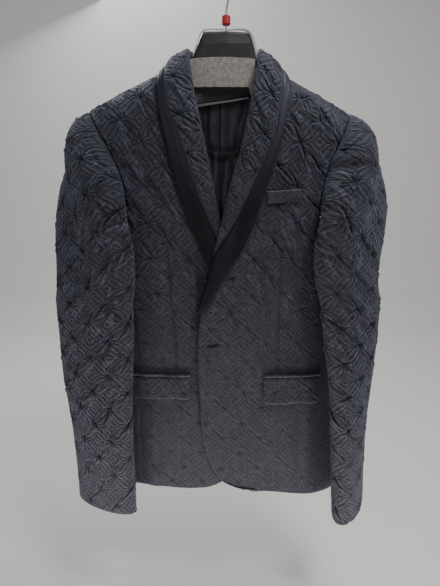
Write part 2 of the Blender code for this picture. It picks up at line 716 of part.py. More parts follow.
def sleeve(side):
    """Upper sleeve, over the outside, and under sleeve, facing the body."""
    upper = np.concatenate([
        np.linspace(BACK_FOLD + SEAM_TURN - 360, 0, 8)[:-1],
        np.linspace(0, FRONT_FOLD - SEAM_TURN, 9),
    ])
    under = np.linspace(FRONT_FOLD + SEAM_TURN, BACK_FOLD - SEAM_TURN, 8)
    for name, turns in (("upper", upper), ("under", under)):
        grid = sleeve_grid(side, np.mod(turns, 360))
        ahead = sleeve_grid(side, np.mod(turns + ROUND_STEP, 360))
        across = ahead - sleeve_grid(side, np.mod(turns - ROUND_STEP, 360))
        relief = sleeve_relief(grid, turns[None, :] / 360 * SLEEVE_GIRTH)
        wall(f"sleeve_{name}_{side}", grid, "jacquard", JACQUARD, relief, (2, 1), SIGN[side], across)


# ---- Collar
def collar_frame(side):
    """Stations along the collar: fold, outer edge, foot of the inside, band width."""
    sign = SIGN[side]
    paths = []
    for rx, ry, rz, ex, drop, face, sx, sy, sz, band in zip(*NECK.values()):
        place = np.array(sign * ex + NECK_SHIFT)
        edge = body(place, ridge_z(place, side) - drop, side, int(face), NECK_LIFT)
        fold = (sign * rx + NECK_SHIFT, ry, rz)
        paths.append((*fold, *edge, sign * sx + NECK_SHIFT, sy, sz, band))
    for rx, rz, ex, ez, lift, band in zip(*LAPEL[side].values()):
        fold = body(np.array(sign * rx), np.array(rz), side, -1)
        edge = body(np.array(sign * ex), np.array(ez), side, -1, lift)
        foot = body(np.array(sign * (rx + LEG)), np.array(rz), side, -1)
        paths.append((*fold, *edge, *foot, band))
    paths = np.array(paths)
    steps = np.linalg.norm(np.diff(paths[:, 3:6], axis=0), axis=1)
    place = np.concatenate([[0], np.cumsum(steps)])
    columns = {str(k): paths[:, k] for k in range(10)}
    columns["place"] = place

    def at(places):
        path = np.stack([read(columns, "place", str(k), places) for k in range(10)], -1)
        return path[:, 0:3], path[:, 3:6], path[:, 6:9], path[:, 9]

    fine = np.linspace(0, place[-1], 400)
    fold, edge, _, band = at(fine)
    jacquard = np.linalg.norm(edge - fold, axis=1) - band > -SATIN_TURN
    end = fine[np.argmin(jacquard)] if not jacquard.all() else place[-1]
    places = np.linspace(0, end, FACING_ROWS)
    if end < place[-1]:
        rows = FACING_ROWS - CLOSE_ROWS
        places = np.concatenate([
            np.linspace(0, end - CLOSE_SPAN, rows),
            np.linspace(end - CLOSE_SPAN, end, CLOSE_ROWS + 1)[1:],
            np.linspace(end, place[-1], TIP_ROWS + 1)[1:],
        ])
    return (places, *at(places))


def collar_section(side, fold, edge, foot, distance):
    """Collar points at distances from the fold: inside is negative, outside positive."""
    reach = edge - fold
    length = np.linalg.norm(reach, axis=-1, keepdims=True)
    out = reach / length
    along = unit(np.gradient(fold, axis=0, edge_order=2))
    up = SIGN[side] * unit(np.cross(along, out))
    inward = unit(foot - fold)
    run = np.abs(distance)
    nose = RISE * np.sqrt(1 - (1 - np.minimum(run / ROLL, 1)) ** 2)
    settle = np.clip((run - ROLL) / (length - ROLL), 0, 1)
    swell = SWELL * np.sin(math.pi * np.clip(run / length, 0, 1)) ** 2 * fade(length, 0.02, 0.05)
    outside = distance >= 0
    height = np.where(outside, nose * (1 - settle) + swell, -nose)
    way = np.where(outside[..., None], out[:, None], inward[:, None])
    return fold[:, None] + way * run[..., None] + up[:, None] * height[..., None]


def collar(side):
    """The jacquard facing and, along its outer edge, the satin band."""
    places, fold, edge, foot, band = collar_frame(side)
    leg = np.linalg.norm(foot - fold, axis=1)[:, None]
    length = np.linalg.norm(edge - fold, axis=1)
    split = np.maximum(length - band, -SATIN_TURN)[:, None]
    inside = np.concatenate([-leg, -0.5 * leg, np.full_like(leg, -ROLL)], 1)
    nose = np.broadcast_to([-0.35 * ROLL, 0.35 * ROLL, ROLL], (len(leg), 3))
    outside = ROLL + (np.maximum(split, ROLL) - ROLL) * np.array([0.25, 0.5, 0.75, 1.0])
    distance = np.concatenate([inside, nose, outside], 1)
    left = distance.shape[1] - 1 - np.arange(distance.shape[1])
    distance = np.minimum(distance, split - SEAM - BAND_STEP * left)
    relief = pucker(distance, places[:, None]) * fade(distance, 0.0, 0.010)
    relief = relief * fade(split - distance, 0.0, 0.008)
    grid = collar_section(side, fold, edge, foot, distance)
    close_back(grid, side)
    rows = slice(0, FACING_ROWS)
    wall(f"collar_{side}", grid[rows], "jacquard", JACQUARD, relief[rows], (1, 1), SIGN[side])
    start = split + SEAM
    outside = start + (length[:, None] - start) * np.array([0, 0.34, 0.67, 1.0])
    turned = np.broadcast_to([-0.5 * LEG, -ROLL, -0.35 * ROLL, 0.35 * ROLL], (len(leg), 4))
    distance = np.concatenate([turned, outside], 1)
    distance = np.sort(np.maximum(distance, start + BAND_STEP * np.arange(8)), axis=1)
    grid = collar_section(side, fold, edge, foot, distance)
    close_back(grid, side)
    wall(f"satin_band_{side}", grid, "satin", SATIN, None, (1, 1), SIGN[side])


def close_back(grid, side):
    """The two halves meet in one upright plane at the middle of the back."""
    grid[0, :, 0] = SIGN[side] * SEAM + NECK_SHIFT


# ---- Pockets
def laid_on_front(name, side, x_span, z_rows, out, finish, thickness, relief=0.0):
    """A small piece made from the front's own points, moved out."""
    sign = SIGN[side]
    share = np.linspace(0, 1, 7)
    x = sign * (x_span[0] + (x_span[1] - x_span[0]) * share)
    z = np.array([row(share) for row in z_rows])
    x = np.broadcast_to(x, z.shape)
    grid = body(x, z, side, -1, out)
    bumps = pucker(x, z, relief) if relief else None
    wall(name, grid, finish, thickness, bumps, step=(1, 1), facing=sign)


def pocket(side):
    """Flap pocket: a narrow jet, and the flap that hangs from it."""
    size = POCKETS[side]
    span = (size["inner"], size["outer"])

    def level(z):
        return lambda share: z - size["fall"] * share

    jet_bottom = size["top"] - JET_HIGH
    rows = [level(size["top"]), level(jet_bottom)]
    laid_on_front(f"jet_{side}", side, span, rows, JET_OUT, "jacquard", JACQUARD)
    heights = np.linspace(jet_bottom - 2 * SEAM, size["bottom"], 4)
    rows = [level(z) for z in heights]
    laid_on_front(f"flap_{side}", side, span, rows, FLAP_OUT, "jacquard", JACQUARD, LOW_RELIEF)


def breast_welt():
    rise = WELT["rise"]
    span = (WELT["inner"], WELT["outer"])
    length = span[1] - span[0]

    def level(z):
        return lambda share: z + rise * length * share

    rows = [level(WELT["top"]), level(WELT["top"] - WELT["height"])]
    laid_on_front("breast_welt", "left", span, rows, WELT_OUT, "jacquard", JACQUARD)


# ---- Lining
def lining(side):
    """Half of the back lining, just inside the back."""
    sign = SIGN[side]
    x = sign * np.linspace(SEAM, LINING_HALF, 5)
    top = np.interp(np.abs(x), LINING_TOP["x"], LINING_TOP["z"])
    z = top + (hem_z(0) + LINING_HEM - top) * np.linspace(0, 1, 19)[:, None]
    x = np.broadcast_to(x, z.shape)
    grid = body(x, z, side, 1, -LINING_INSIDE) - np.array([0, LINING_SLACK, 0])
    wall(f"lining_back_{side}", grid, "lining", LINING, step=(2, 1), facing=-sign)


# ---- Hanger
def hanger_ring(x, top, bottom, deep, sides=12):
    """One upright section of the hanger, rounded above and below."""
    points = []
    for angle in np.linspace(0, 2 * math.pi, sides + 1)[:-1]:
        rise = math.copysign(abs(math.cos(angle)) ** 0.7, math.cos(angle))
        z = (top + bottom) / 2 + (top - bottom) / 2 * rise
        points.append((x, deep * math.sin(angle), z))
    return points


def hanger_body():
    """Wide-shouldered moulded hanger: sections along X, joined end to end."""
    sections = []
    for side, order in (("right", -1), ("neck", 0), ("left", 1)):
        if not order:
            sections += [hanger_ring(*row) for row in zip(*HANGER_NECK.values())]
            continue
        for x in order * np.linspace(*ARM_X, ARM_SECTIONS)[::order]:
            tip = float(fade(abs(x), ARM_X[1] - TIP_LONG, ARM_X[1]))
            top = float(ridge_z(x, side)) - ARM_CLEAR - TIP_DROP * tip
            deep = ARM_DEEP + ARM_SPREAD * float(fade(abs(x), *SPREAD_X)) - TIP_DEEP * tip
            sections.append(hanger_ring(x, top, top - ARM_HIGH + TIP_HIGH * tip, deep))
    shape = bmesh.new()
    rings = [[shape.verts.new(p) for p in section] for section in sections]
    join_rings(shape, rings)
    shape.faces.new(rings[0])
    shape.faces.new(rings[-1])
    bmesh.ops.triangulate(shape, faces=shape.faces[:])
    finish_piece("hanger_body", shape, "plastic")


def join_rings(shape, rings, closed=False):
    """Faces between each ring of points and the next."""
    pairs = list(zip(rings, rings[1:]))
    if closed:
        pairs.append((rings[-1], rings[0]))
    for one, two in pairs:
        for k in range(len(one)):
            n = (k + 1) % len(one)
            shape.faces.new((one[k], one[n], two[n], two[k]))


def strip(name, centre, tops, bottoms, thickness, finish):
    """An upright strip along a path of x and y, between two heights at each point."""
    shape = bmesh.new()
    centre = np.array(centre, float)
    ahead = unit(np.gradient(centre, axis=0, edge_order=2))
    side = np.stack([-ahead[:, 1], ahead[:, 0]], -1) * thickness / 2
    rings = []
    for point, half, top, bottom in zip(centre, side, tops, bottoms):
        near, far = point - half, point + half
        ring = [(*near, top), (*near, bottom), (*far, bottom), (*far, top)]
        rings.append([shape.verts.new(p) for p in ring])
    join_rings(shape, rings)
    shape.faces.new(rings[0])
    shape.faces.new(rings[-1])
    bmesh.ops.triangulate(shape, faces=shape.faces[:])
    finish_piece(name, shape, finish)


def tube(name, path, radius, finish, sides=10):
    """A round bar along a path, with flat ends."""
    shape = bmesh.new()
    path = np.array(path, float)
    ahead = unit(np.gradient(path, axis=0))
    rings = []
    for point, along in zip(path, ahead):
        across = np.array([0.0, 1.0, 0.0])
        other = np.cross(along, across)
        ring = []
        for angle in np.linspace(0, 2 * math.pi, sides + 1)[:-1]:
            ring.append(shape.verts.new(
                point + radius * (across * math.cos(angle) + other * math.sin(angle))))
        rings.append(ring)
    join_rings(shape, rings)
    shape.faces.new(rings[0])
    shape.faces.new(rings[-1])
    bmesh.ops.triangulate(shape, faces=shape.faces[:])
    finish_piece(name, shape, finish)


def hook():
    """Wire: up the shank, out to one side, over the top and down to its tip."""
    radius = HOOK_RADIUS + WIRE
    centre_z = -HOOK_RADIUS
    path = [(SHANK_X + x, 0, z) for x, z in SHANK]
    for angle in np.radians(np.arange(-35, 206, 15)):
        path.append((radius * math.cos(angle), 0, centre_z + radius * math.sin(angle)))
    tube("hook", path, WIRE, "wire")


def size_ring():
    """Round cap on the shank, bored for the wire."""
    shape = bmesh.new()
    x = SHANK_X + SHANK[1][0]
    bore = WIRE + RING_BORE
    rim = RING_RADIUS - RING_BEVEL
    profile = [(bore, RING_BOTTOM), (rim, RING_BOTTOM), (RING_RADIUS, RING_BOTTOM + RING_BEVEL)]
    profile += [(RING_RADIUS, RING_TOP - RING_BEVEL), (rim, RING_TOP), (bore, RING_TOP)]
    sides = 20
    rings = []
    for angle in np.linspace(0, 2 * math.pi, sides + 1)[:-1]:
        c, s = math.cos(angle), math.sin(angle)
        rings.append([shape.verts.new((x + r * c, r * s, z)) for r, z in profile])
    join_rings(shape, rings, closed=True)
    bmesh.ops.triangulate(shape, faces=shape.faces[:])
    finish_piece("size_ring", shape, "red_ring")


def felt_band():
    """Felt strip across the front of the hanger's neck, with a narrow tail on the left."""
    x = np.linspace(FELT_X[0], FELT_X[1], 13)
    x = np.append(x, [FELT_X[1] + 0.0015])
    bend = (x - sum(FELT_X) / 2) / (FELT_X[1] - FELT_X[0]) * 2
    y = FELT_Y + FELT_BEND * bend ** 2
    top = FELT_TOP - FELT_SAG * bend ** 2
    tail = fade(x, FELT_X[1] - FELT_TAIL_WIDE, FELT_X[1] - 0.3 * FELT_TAIL_WIDE)
    bottom = FELT_BOTTOM - FELT_TAIL * tail
    strip("felt_band", np.stack([x, y], -1), top, bottom, FELT_WALL, "felt")


def hanger_lip():
    """Thin raised lip along the hanger's lower front edge."""
    x = np.linspace(LIP_X[0], LIP_X[1], 9)
    low = np.interp(x, HANGER_NECK["x"], HANGER_NECK["bottom"]) - LIP_BELOW
    high = low + np.linspace(LIP_HIGH[0], LIP_HIGH[1], 9)
    strip("hanger_lip", np.stack([x, np.full(9, LIP_Y)], -1), high, low, LIP_WALL, "lip")


def main():
    for item in list(bpy.data.objects):
        bpy.data.objects.remove(item, do_unlink=True)
    for side in ("right", "left"):
        front_panel(side)
        back_panel(side)
        side_panel(side)
        sleeve(side)
        collar(side)
        pocket(side)
        lining(side)
    breast_welt()
    hanger_body()
    hook()
    size_ring()
    felt_band()
    hanger_lip()


main()
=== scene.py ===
"""Looks of the blazer on its hanger: thin cloth on the solids' own form, finishes, light and camera.

Metres, +Z up, the front faces -Y. Left and right are the wearer's, so the right side is on -X.
Each cloth piece is a fine grid on its solid's surface. It is moved in and out by the cloth's
puckers, creases, darts and turned edges, and then given its thickness.
"""
import math

import bmesh
import bpy
import numpy as np
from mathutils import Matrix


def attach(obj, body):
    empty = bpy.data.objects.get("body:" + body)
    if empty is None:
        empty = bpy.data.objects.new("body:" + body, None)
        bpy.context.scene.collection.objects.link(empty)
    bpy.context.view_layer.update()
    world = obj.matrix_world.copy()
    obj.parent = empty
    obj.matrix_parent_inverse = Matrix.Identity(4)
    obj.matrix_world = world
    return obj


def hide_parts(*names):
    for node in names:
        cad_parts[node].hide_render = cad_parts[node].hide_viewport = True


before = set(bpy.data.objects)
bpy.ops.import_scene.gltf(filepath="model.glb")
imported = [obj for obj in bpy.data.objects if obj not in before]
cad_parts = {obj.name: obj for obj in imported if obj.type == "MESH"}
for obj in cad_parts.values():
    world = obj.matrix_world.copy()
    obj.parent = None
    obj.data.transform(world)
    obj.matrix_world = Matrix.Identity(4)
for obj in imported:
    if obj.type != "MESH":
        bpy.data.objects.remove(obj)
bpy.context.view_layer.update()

# ---- The garment's own sizes, as its solids have them
JACQUARD = 0.0016          # cloth with its fusing
SATIN = 0.0012
LINING = 0.0010
SEAM = 0.00005             # half the gap that is kept between neighbouring pieces

RIDGE = 0.050              # how far down the cloth turns over the shoulder
RIDGE_ARC = RIDGE * math.pi / 2
NECK_X = 0.0925            # the shoulder line, at the collar's edge
NECK_Z = -0.1530
ROUND = 2.4                # how square the body's plan is
HEM_Z = -0.829
HEM_TILT = 0.040           # the hem drops towards the wearer's left
HEM_DROOP = 0.012          # and sags further near the left side seam
SEAM_NECK_X = 0.070        # where the shoulder seam starts, under the collar
BACK_NECK_Z = -0.152
NECKLINE = (0.35, 0.65, 0.85)          # points of the back neckline, as shares of its width

ROLL = 0.0040              # how far the fold at the roll line takes to turn over
RISE = 0.0044              # the facing's height over the fold's middle, outside and inside
LEG = 0.014                # width of the lapel facing turned inside at the roll line
TUCK = 0.0060              # the front's own edge stops this far inside the fold
NECK_TUCK = 0.0050         # and this much further in at the neck
SATIN_TURN = 0.0042        # how far the satin turns inside once it covers the whole lapel
SWELL = 0.0030             # how full the facing is between its fold and its edge
NECK_LIFT = 0.0052         # the collar's outer edge stands this far off the body
COLLAR_ROWS = 236          # stations along the collar, and points across its facing and its band
FACING_COLUMNS = 40
BAND_COLUMNS = 22

SIGN = {"right": -1, "left": 1}
SLOPE = {"right": 0.485, "left": 0.545}      # fall of each shoulder line
HUG = {"right": 2.2, "left": -2.5}         # degrees the front armhole lies nearer the middle
PLAIN = ("turn", "swing", "face")            # columns of the tables that aren't lengths


def numbers(rows):
    """An array of the numbers in rows of text."""
    return np.array([row.split() for row in rows.strip().splitlines()], float)


def table(columns, rows):
    """A short table: the name of each column, then a row for each section, in millimetres."""
    return {n: v if n in PLAIN else v / 1000 for n, v in zip(columns.split(), numbers(rows).T)}


def both_sides(columns, **rows):
    """A table for the right side and one for the left."""
    return {side: table(columns, part) for side, part in rows.items()}


TORSO = table("z width front back", """
    -850 211 62 60
    -760 205 64 60
    -640 194 66 55
    -540 191 67 53
    -440 201 68 60
    -340 212 67 67
    -260 224 60 66
    -200 234 47 56
    -150 240 34 44
     -80 240 26 36
""")

# Once round the armhole, from the shoulder down the front and up the back.
ARMHOLE = table("turn swing z", """
      0    32 -210.5
     30  38.5   -244
     60  45.5   -285
     90  49.3   -327
    120  48.6   -370
    145    43   -399
    180     0   -424
    215   -42   -394
    240 -46.5   -360
    270   -47   -318
    300   -44   -279
    330 -38.5   -243
    360   -32 -210.5
""")
FRONT_SEAM_TURN = 145
BACK_SEAM_TURN = 215
SEAM_BLEND = 0.16          # the side seams leave the armhole over this height
# Where the side panel meets the front and the back.
SIDE_SEAMS = both_sides("z front_x back_x",
    right="""
      -850   134   160
      -670 132.5   152
      -540   136   148
      -390 152.5 155.5
    """,
    left="""
      -850   166   160
      -670   164   152
      -540   160   148
      -390 153.5 155.5
    """)

# The collar round the neck, from the middle of the back to where it lies on the front.
# edge_drop is how far below the shoulder line its outer edge lies, on the back (face 1)
# or the front (face -1). stand_x, _y and _z are the foot of the stand, inside the neck.
NECK = table("roll_x roll_y roll_z edge_x edge_drop face stand_x stand_y stand_z band", """
       0    53   -110    0   61  1    0 47.5   -147 13
      20  50.5 -110.5   33   46  1   22   45   -146 13
      40    38 -112.5   66   30  1   44   34   -143 13
    49.5    18 -115.5   88   12  1 55.5   18   -137 13
    51.5     5   -118   95    0  1   58    6 -136.5 13
      52    -5 -121.5 98.5  3.5 -1 58.5   -3   -137 12
    50.5 -22.5   -139 99.5 13.5 -1   59  -16   -148 12
""")
NECK_SHIFT = 0.0055        # the collar sits a little towards the wearer's left
# The lapel, down the front to its tip: x and z of the roll line and of the outer edge.
LAPEL = both_sides("roll_x roll_z edge_x edge_z lift band",
    left="""
       50.5   -165 104.3   -190   5   12
       44.6   -202  98.5   -213 5.5 11.5
       37.5   -240    93   -244   6 10.5
         27   -283    81   -284   6 14.5
       14.3 -326.4  67.6   -325   6 19.5
          3   -374    51   -375 5.5   27
         -7   -413  33.5   -415 5.5 34.4
        -13   -440    18   -440 5.5   38
      -20.5   -468     1 -466.5 5.5   42
        -29   -496   -13   -494 5.5   46
        -35   -515   -24   -513 5.5   50
    """,
    right="""
      42.5   -156 93.5 -185   6 12
        36   -196   89 -215 6.5 12
      27.5   -236   81 -250   7 16
      18.3 -279.3   72 -290   7 20
       9.8   -324 61.5 -329 6.5 24
         1   -370   48 -369 4.5 28
        -9   -410   31 -411 3.5 30
       -18   -443   16 -444   3 29
       -27   -475   -1 -475 2.8 20
       -34   -502  -17 -502 2.6 13
    """)

# Front edges below the lapel. Measured across from the middle, towards the other side.
FRONT_EDGE = both_sides("over z",
    left="""
        36 -517.5
      34.5   -570
        33   -663
        28   -734
        18   -772
         3   -801
       -25   -819
       -60   -827
    """,
    right="""
       40 -515
       42 -570
       43 -663
       38 -734
       28 -772
       10 -808
      -16 -823
      -50 -827
    """)
# How far the left front stands out over the right one, near the middle.
OVERLAP = table("z out", """
    -830  3.2
    -640    4
    -560  7.5
    -510   11
    -400 10.5
    -350    7
    -290    1
    -240    0
""")
OVERLAP_SOLID = 0.030      # full as far out as this, and gone at the next
OVERLAP_GONE = 0.095

# Soft upright folds: place, half width, depth (out is positive), top and bottom.
FOLDS = table("x wide depth top bottom", """
     148  8 3.5 -640 -860
     132  8  -2 -660 -860
    -112  9   3 -660 -860
     -92 12  -2 -560 -800
     105 16   2 -420 -600
    -112 16   2 -300 -420
""")

# Free part of the sleeves: the edge nearest the middle, the outer edge, half the thickness.
SLEEVE = both_sides("z inner_x inner_y outer_x outer_y thick",
    right="""
      -870 140.5 -84   243 -48   20
      -800   140 -84 243.5 -47   20
      -710   141 -83   249 -44 20.5
      -630 138.5 -81   259 -40 21.5
      -560   135 -80 262.5 -36 22.5
      -500   134 -80 264.5 -35   23
    """,
    left="""
      -870   195 -98   241 -30   23
      -800 190.5 -98 239.5 -29   23
      -710   182 -97   242 -28 23.5
      -630   174 -94   250 -29 23.5
      -560 162.5 -89   256 -30   24
      -500   155 -85   258 -31   24
    """)
CUFF = {"right": (-0.855, -0.845), "left": (-0.868, -0.843)}   # z at the inner and outer edges
# How the sleeve head leaves the armhole: out, forward and down, and how far.
HEAD = table("turn out forward down", """
      0 285  10 85
     45 170 100 70
     90  15 110 70
    135  25  80 80
    180 140  20 70
    225 210 -60 80
    270 520 -60 70
    315 520 -45 75
    360 285  10 85
""")
FULL = {"right": 0.92, "left": 1.10}        # how full each sleeve head is
HEAD_END = 0.260           # strength of the downward pull where the head joins the tube
HEAD_DRAW = {"right": 0.050, "left": 0.090}   # and how far it draws in on the way there
SLEEVE_GAP = 0.0010        # the sleeve starts this far outside the armhole
SLEEVE_PROUD = 0.6         # and a little in front of it, or behind it
SEAM_TURN = 0.35           # half the gap between its two pieces, as a turn round it
FRONT_FOLD = 118           # the sleeve's front seam and back seam, as turns round it
BACK_FOLD = 236

# Flap pockets: the ends, the top and bottom at the inner end, and how far the outer end falls.
POCKETS = {
    "right": dict(inner=0.0478, outer=0.1480, top=-0.6187, bottom=-0.6612, fall=0.0025),
    "left": dict(inner=0.0705, outer=0.1660, top=-0.6196, bottom=-0.6694, fall=0.0056),
}
JET_HIGH = 0.0045
JET_OUT = 0.0050           # from the front's points out to each small piece's
FLAP_OUT = 0.0052
WELT_OUT = 0.0054
FLAP_OFF = {"left": 0.17, "right": 0.36}    # the flaps' pattern against the fronts', in repeats
JET_FULLNESS = 0.15        # puckers of the jets, the flaps and the breast welt
FLAP_FULLNESS = 0.30
WELT_FULLNESS = 0.12
WELT = dict(inner=0.0700, outer=0.1215, top=-0.3325, height=0.0185, rise=0.070)

# Back lining: half its width, its upper edge, and how far it stays from the hem and the back.
LINING_HALF = 0.140
LINING_TOP = table("x z", """
      0 -158
     60 -158
    140 -205
""")
LINING_HEM = 0.018
LINING_INSIDE = 0.0052
LINING_SLACK = 0.002

# ---- What is placed on the cloth, one by one
SAG = (0.006, -0.264)      # lowest point of the lining's sag: x and z
LINING_FOLDS = (           # x at the sag, its change with height, half width, height, above the sag
    (-0.0190, -0.10, 0.0050, 0.0040, True),
    (0.0060, -0.03, 0.0110, 0.0030, True),
    (0.0310, 0.12, 0.0060, 0.0035, True),
    (0.0000, 0.02, 0.0045, 0.0040, False),
    (-0.0200, 0.04, 0.0060, 0.0035, False),
    (0.0220, -0.05, 0.0080, 0.0035, False),
    (-0.0500, 0.03, 0.0100, 0.0035, False),
    (0.0620, -0.02, 0.0110, 0.0035, False),
    (-0.0850, -0.02, 0.0120, 0.0030, False),
    (0.0980, 0.03, 0.0130, 0.0030, False),
)
# The buttonhole near the left front's edge, and the rim's path up and over the hanger's neck; the rim is a
# pale bar, a painted highlight.
HOLE = dict(x=-0.0095, z=-0.5706, half=0.0105, tilt=0.12)
STITCHES = 62
RIM = ((-0.0418, -0.1310), (-0.0352, -0.1125), (-0.0268, -0.0945), (-0.0235, -0.0930), (0.0100, -0.0926),
       (0.0435, -0.0944), (0.0458, -0.0968), (0.0530, -0.1165), (0.0578, -0.1380))
RIM_Y = -0.0070
# A highlight painted on the satin where it turns up to the light: how much, and from where to where down the
# collar it fades.
SATIN_LIT = {"right": (0.34, 0.25, 0.36), "left": (0.55, 0.22, 0.38)}
LAPEL_SHADE = {"right": 0.0095, "left": 0.0060}     # a shadow is painted on the cloth this close under each lapel's edge

# Creases listed in millimetres: from one place to another, then half width and depth.
# On the fronts a place is x and z; on the back, how far out and z.
FRONT_CREASES = {
    "right": numbers("""
        -166 -263 -152 -290 1.9 1.8
        -148 -216 -124 -251   2 2.2
        -138 -338 -112 -372   2 2.4
        -122 -180  -98 -211 1.9 1.8
        -105 -362  -80 -397   2 2.2
        -111 -308  -83 -341 1.9   2
        -127 -396  -99 -433 2.1 2.2
        -103 -240  -82 -274 1.9   2
        -141 -287 -119 -323 2.1 2.4
        -152 -345 -132 -392 2.4 2.6
    """) / 1000,
    "left": numbers("""
        124 -187 145 -219 1.9 1.8
        145 -205 169 -240   2 2.2
        101 -216 117 -242 1.9 1.8
        115 -369 130 -399   2 1.8
         62 -436  84 -477 1.9 1.8
         96 -525 114 -562 1.9 1.4
         14 -502  30 -541 1.9 1.4
    """) / 1000,
}
BACK_CREASES = numbers("""
     45 -230  75 -262   3   2
    122 -300  98 -338 3.4 2.4
     62 -420  90 -452 3.2   2
    158 -236 138 -275   3 2.2
     20 -335  46 -366   3 1.8
    112 -520  90 -560 3.4 1.8
     35 -560  60 -598   3 1.4
""") / 1000
# On the upper sleeves and the collar a place is how far across from the star, or from the fold,
# and how far down; both are counted from the top.
SLEEVE_CREASES = {
    "right": numbers("""
        -26  -39  -37  -80   2   2
        -23 -112  -49 -151 2.2 2.4
         -2  -76  -19 -116 2.1 2.2
         -5 -138  -26 -174   2 2.2
        -16 -195  -42 -238   2   2
        -23  -40   -5  -72 1.9 1.8
        -21 -114   -7 -141 1.9 1.8
        -58 -268  -79 -309   2   2
        -16 -265  -37 -301   2   2
        -21 -325  -46 -371 2.2 2.2
        -74 -131 -100 -184 2.2   2
        -40 -170  -21 -198 1.9 1.6
        -30 -440  -52 -482 2.2 1.8
    """) / 1000,
    "left": numbers("""
          5  -46 26  -77   2   2
          9  -96 54 -122 2.2 2.2
         -7 -141 19 -172   2 2.2
         26 -173 66 -206 2.1 2.2
          5 -199 30 -236   2 2.2
         38 -231 63 -270   2   2
          5 -260 21 -297   2   2
         -8  -66 12  -60 5.5 4.2
         -7 -318 16 -363 2.2 2.2
         30 -297 59 -340 2.1   2
        -21 -428  2 -467 2.2 1.8
    """) / 1000,
}
COLLAR_CREASES = {
    "right": numbers("""
        -44 -190 -22 -224 1.9   2
        -40 -247 -18 -285   2 2.2
        -30 -319 -14 -346 1.9 1.8
        -27 -217 -13 -251 1.9 1.8
    """) / 1000,
    "left": numbers("""
         6 -169 35 -194 1.9 1.8
         3 -211 31 -248   2 1.8
        38 -203 31 -248 1.9 1.6
        10 -260 37 -300 1.9 1.8
        14 -294  7 -325 1.9 1.6
    """) / 1000,
}


# ---- Curves and surfaces
def read(columns, key, name, at):
    """A column of a table as a smooth curve along its key column."""
    order = np.argsort(columns[key])
    keys = columns[key][order]
    values = columns[name][order]
    step = np.diff(keys)
    slope = np.diff(values) / step
    tangent = np.concatenate([slope[:1], (slope[:-1] + slope[1:]) / 2, slope[-1:]])
    at = np.clip(at, keys[0], keys[-1])
    i = np.clip(np.searchsorted(keys, at, side="right") - 1, 0, len(step) - 1)
    t = (at - keys[i]) / step[i]
    rise = t * t * (3 - 2 * t)
    start = t * (1 - t) ** 2 * step[i] * tangent[i]
    end = t * t * (t - 1) * step[i] * tangent[i + 1]
    return values[i] * (1 - rise) + values[i + 1] * rise + start + end


def fade(value, low, high):
    """0 below low and 1 above high, smooth between."""
    t = np.clip((value - low) / (high - low), 0, 1)
    return t * t * (3 - 2 * t)


def unit(vectors):
    return vectors / np.linalg.norm(vectors, axis=-1, keepdims=True)


def ridge_z(x, side):
    """Height of the shoulder line."""
    return NECK_Z - SLOPE[side] * (np.abs(x) - NECK_X)


def drop_to_run(drop):
    """Distance along the cloth from the shoulder line, for a drop below it."""
    turn = RIDGE * np.arccos(np.clip(1 - drop / RIDGE, -1, 1))
    return np.where(drop < RIDGE, turn, drop - RIDGE + RIDGE_ARC)


def plan(x, z, face):
    """Depth of the body at a height, before the shoulder rounds it off."""
    width = read(TORSO, "z", "width", z)
    deep = read(TORSO, "z", "front" if face < 0 else "back", z)
    share = np.clip(np.abs(x) / width, 0, 1)
    return face * deep * (1 - share ** ROUND) ** (1 / ROUND)


def folds(x, z):
    """Depth of the soft upright folds of the front."""
    total = 0
    for place, wide, depth, top, bottom in zip(*FOLDS.values()):
        ends = fade(z, bottom, bottom + 0.06) * (1 - fade(z, top - 0.06, top))
        total = total + depth * ends * np.exp(-((x - place) / wide) ** 2)
    return total


def overlap(x, z, side):
    """How far a front stands out where the fronts cross, or sinks on the right one."""
    near = 1 - fade(x * SIGN[side], OVERLAP_SOLID, OVERLAP_GONE)
    out = read(OVERLAP, "z", "out", z)
    return near * out if side == "left" else -near * 0.25 * out


def body(x, z, side, face, out=0.0):
    """Points of the body's outside, for x on its own side, moved out by a distance."""
    drop = np.maximum(ridge_z(x, side) - z, 0)
    turn = np.arccos(np.clip(1 - drop / RIDGE, 0, 1))
    y = plan(x, z, face) * np.sin(turn)
    if face < 0:
        y = y - (folds(x, z) + overlap(x, z, side)) * np.sin(turn)
    points = np.stack([x, y, z], -1)
    lean = np.stack([0 * x, face * np.sin(turn), np.cos(turn)], -1)
    return points + np.asarray(out)[..., None] * lean


def either_face(x, z, side, swing):
    """Points of the body's outside: on its front where the swing is forwards, or on its back."""
    return np.where(swing[..., None] > 0, body(x, z, side, -1), body(x, z, side, 1))


def coons(top, bottom, inner, outer):
    """A grid between four edges; rows run from top to bottom."""
    v = np.linspace(0, 1, len(inner))[:, None, None]
    u = np.linspace(0, 1, len(top))[None, :, None]
    across = (1 - u) * inner[:, None] + u * outer[:, None]
    down = (1 - v) * top[None] + v * bottom[None]
    upper = (1 - u) * top[0] + u * top[-1]
    lower = (1 - u) * bottom[0] + u * bottom[-1]
    return across + down - (1 - v) * upper - v * lower


def way_along(points):
    """Distance of each point of a path from its start, along it."""
    return np.concatenate([[0], np.cumsum(np.linalg.norm(np.diff(points, axis=0), axis=1))])


def resample(points, count):
    """The same path with evenly spaced points."""
    along = way_along(points)
    at = np.linspace(0, along[-1], count)
    return np.stack([np.interp(at, along, column) for column in points.T], -1)


def armhole_swing(side, turn):
    """Degrees from straight out to a point of the armhole; forwards is positive."""
    swing = read(ARMHOLE, "turn", "swing", turn)
    return swing + HUG[side] * np.clip(np.sin(np.radians(turn)), 0, 1)


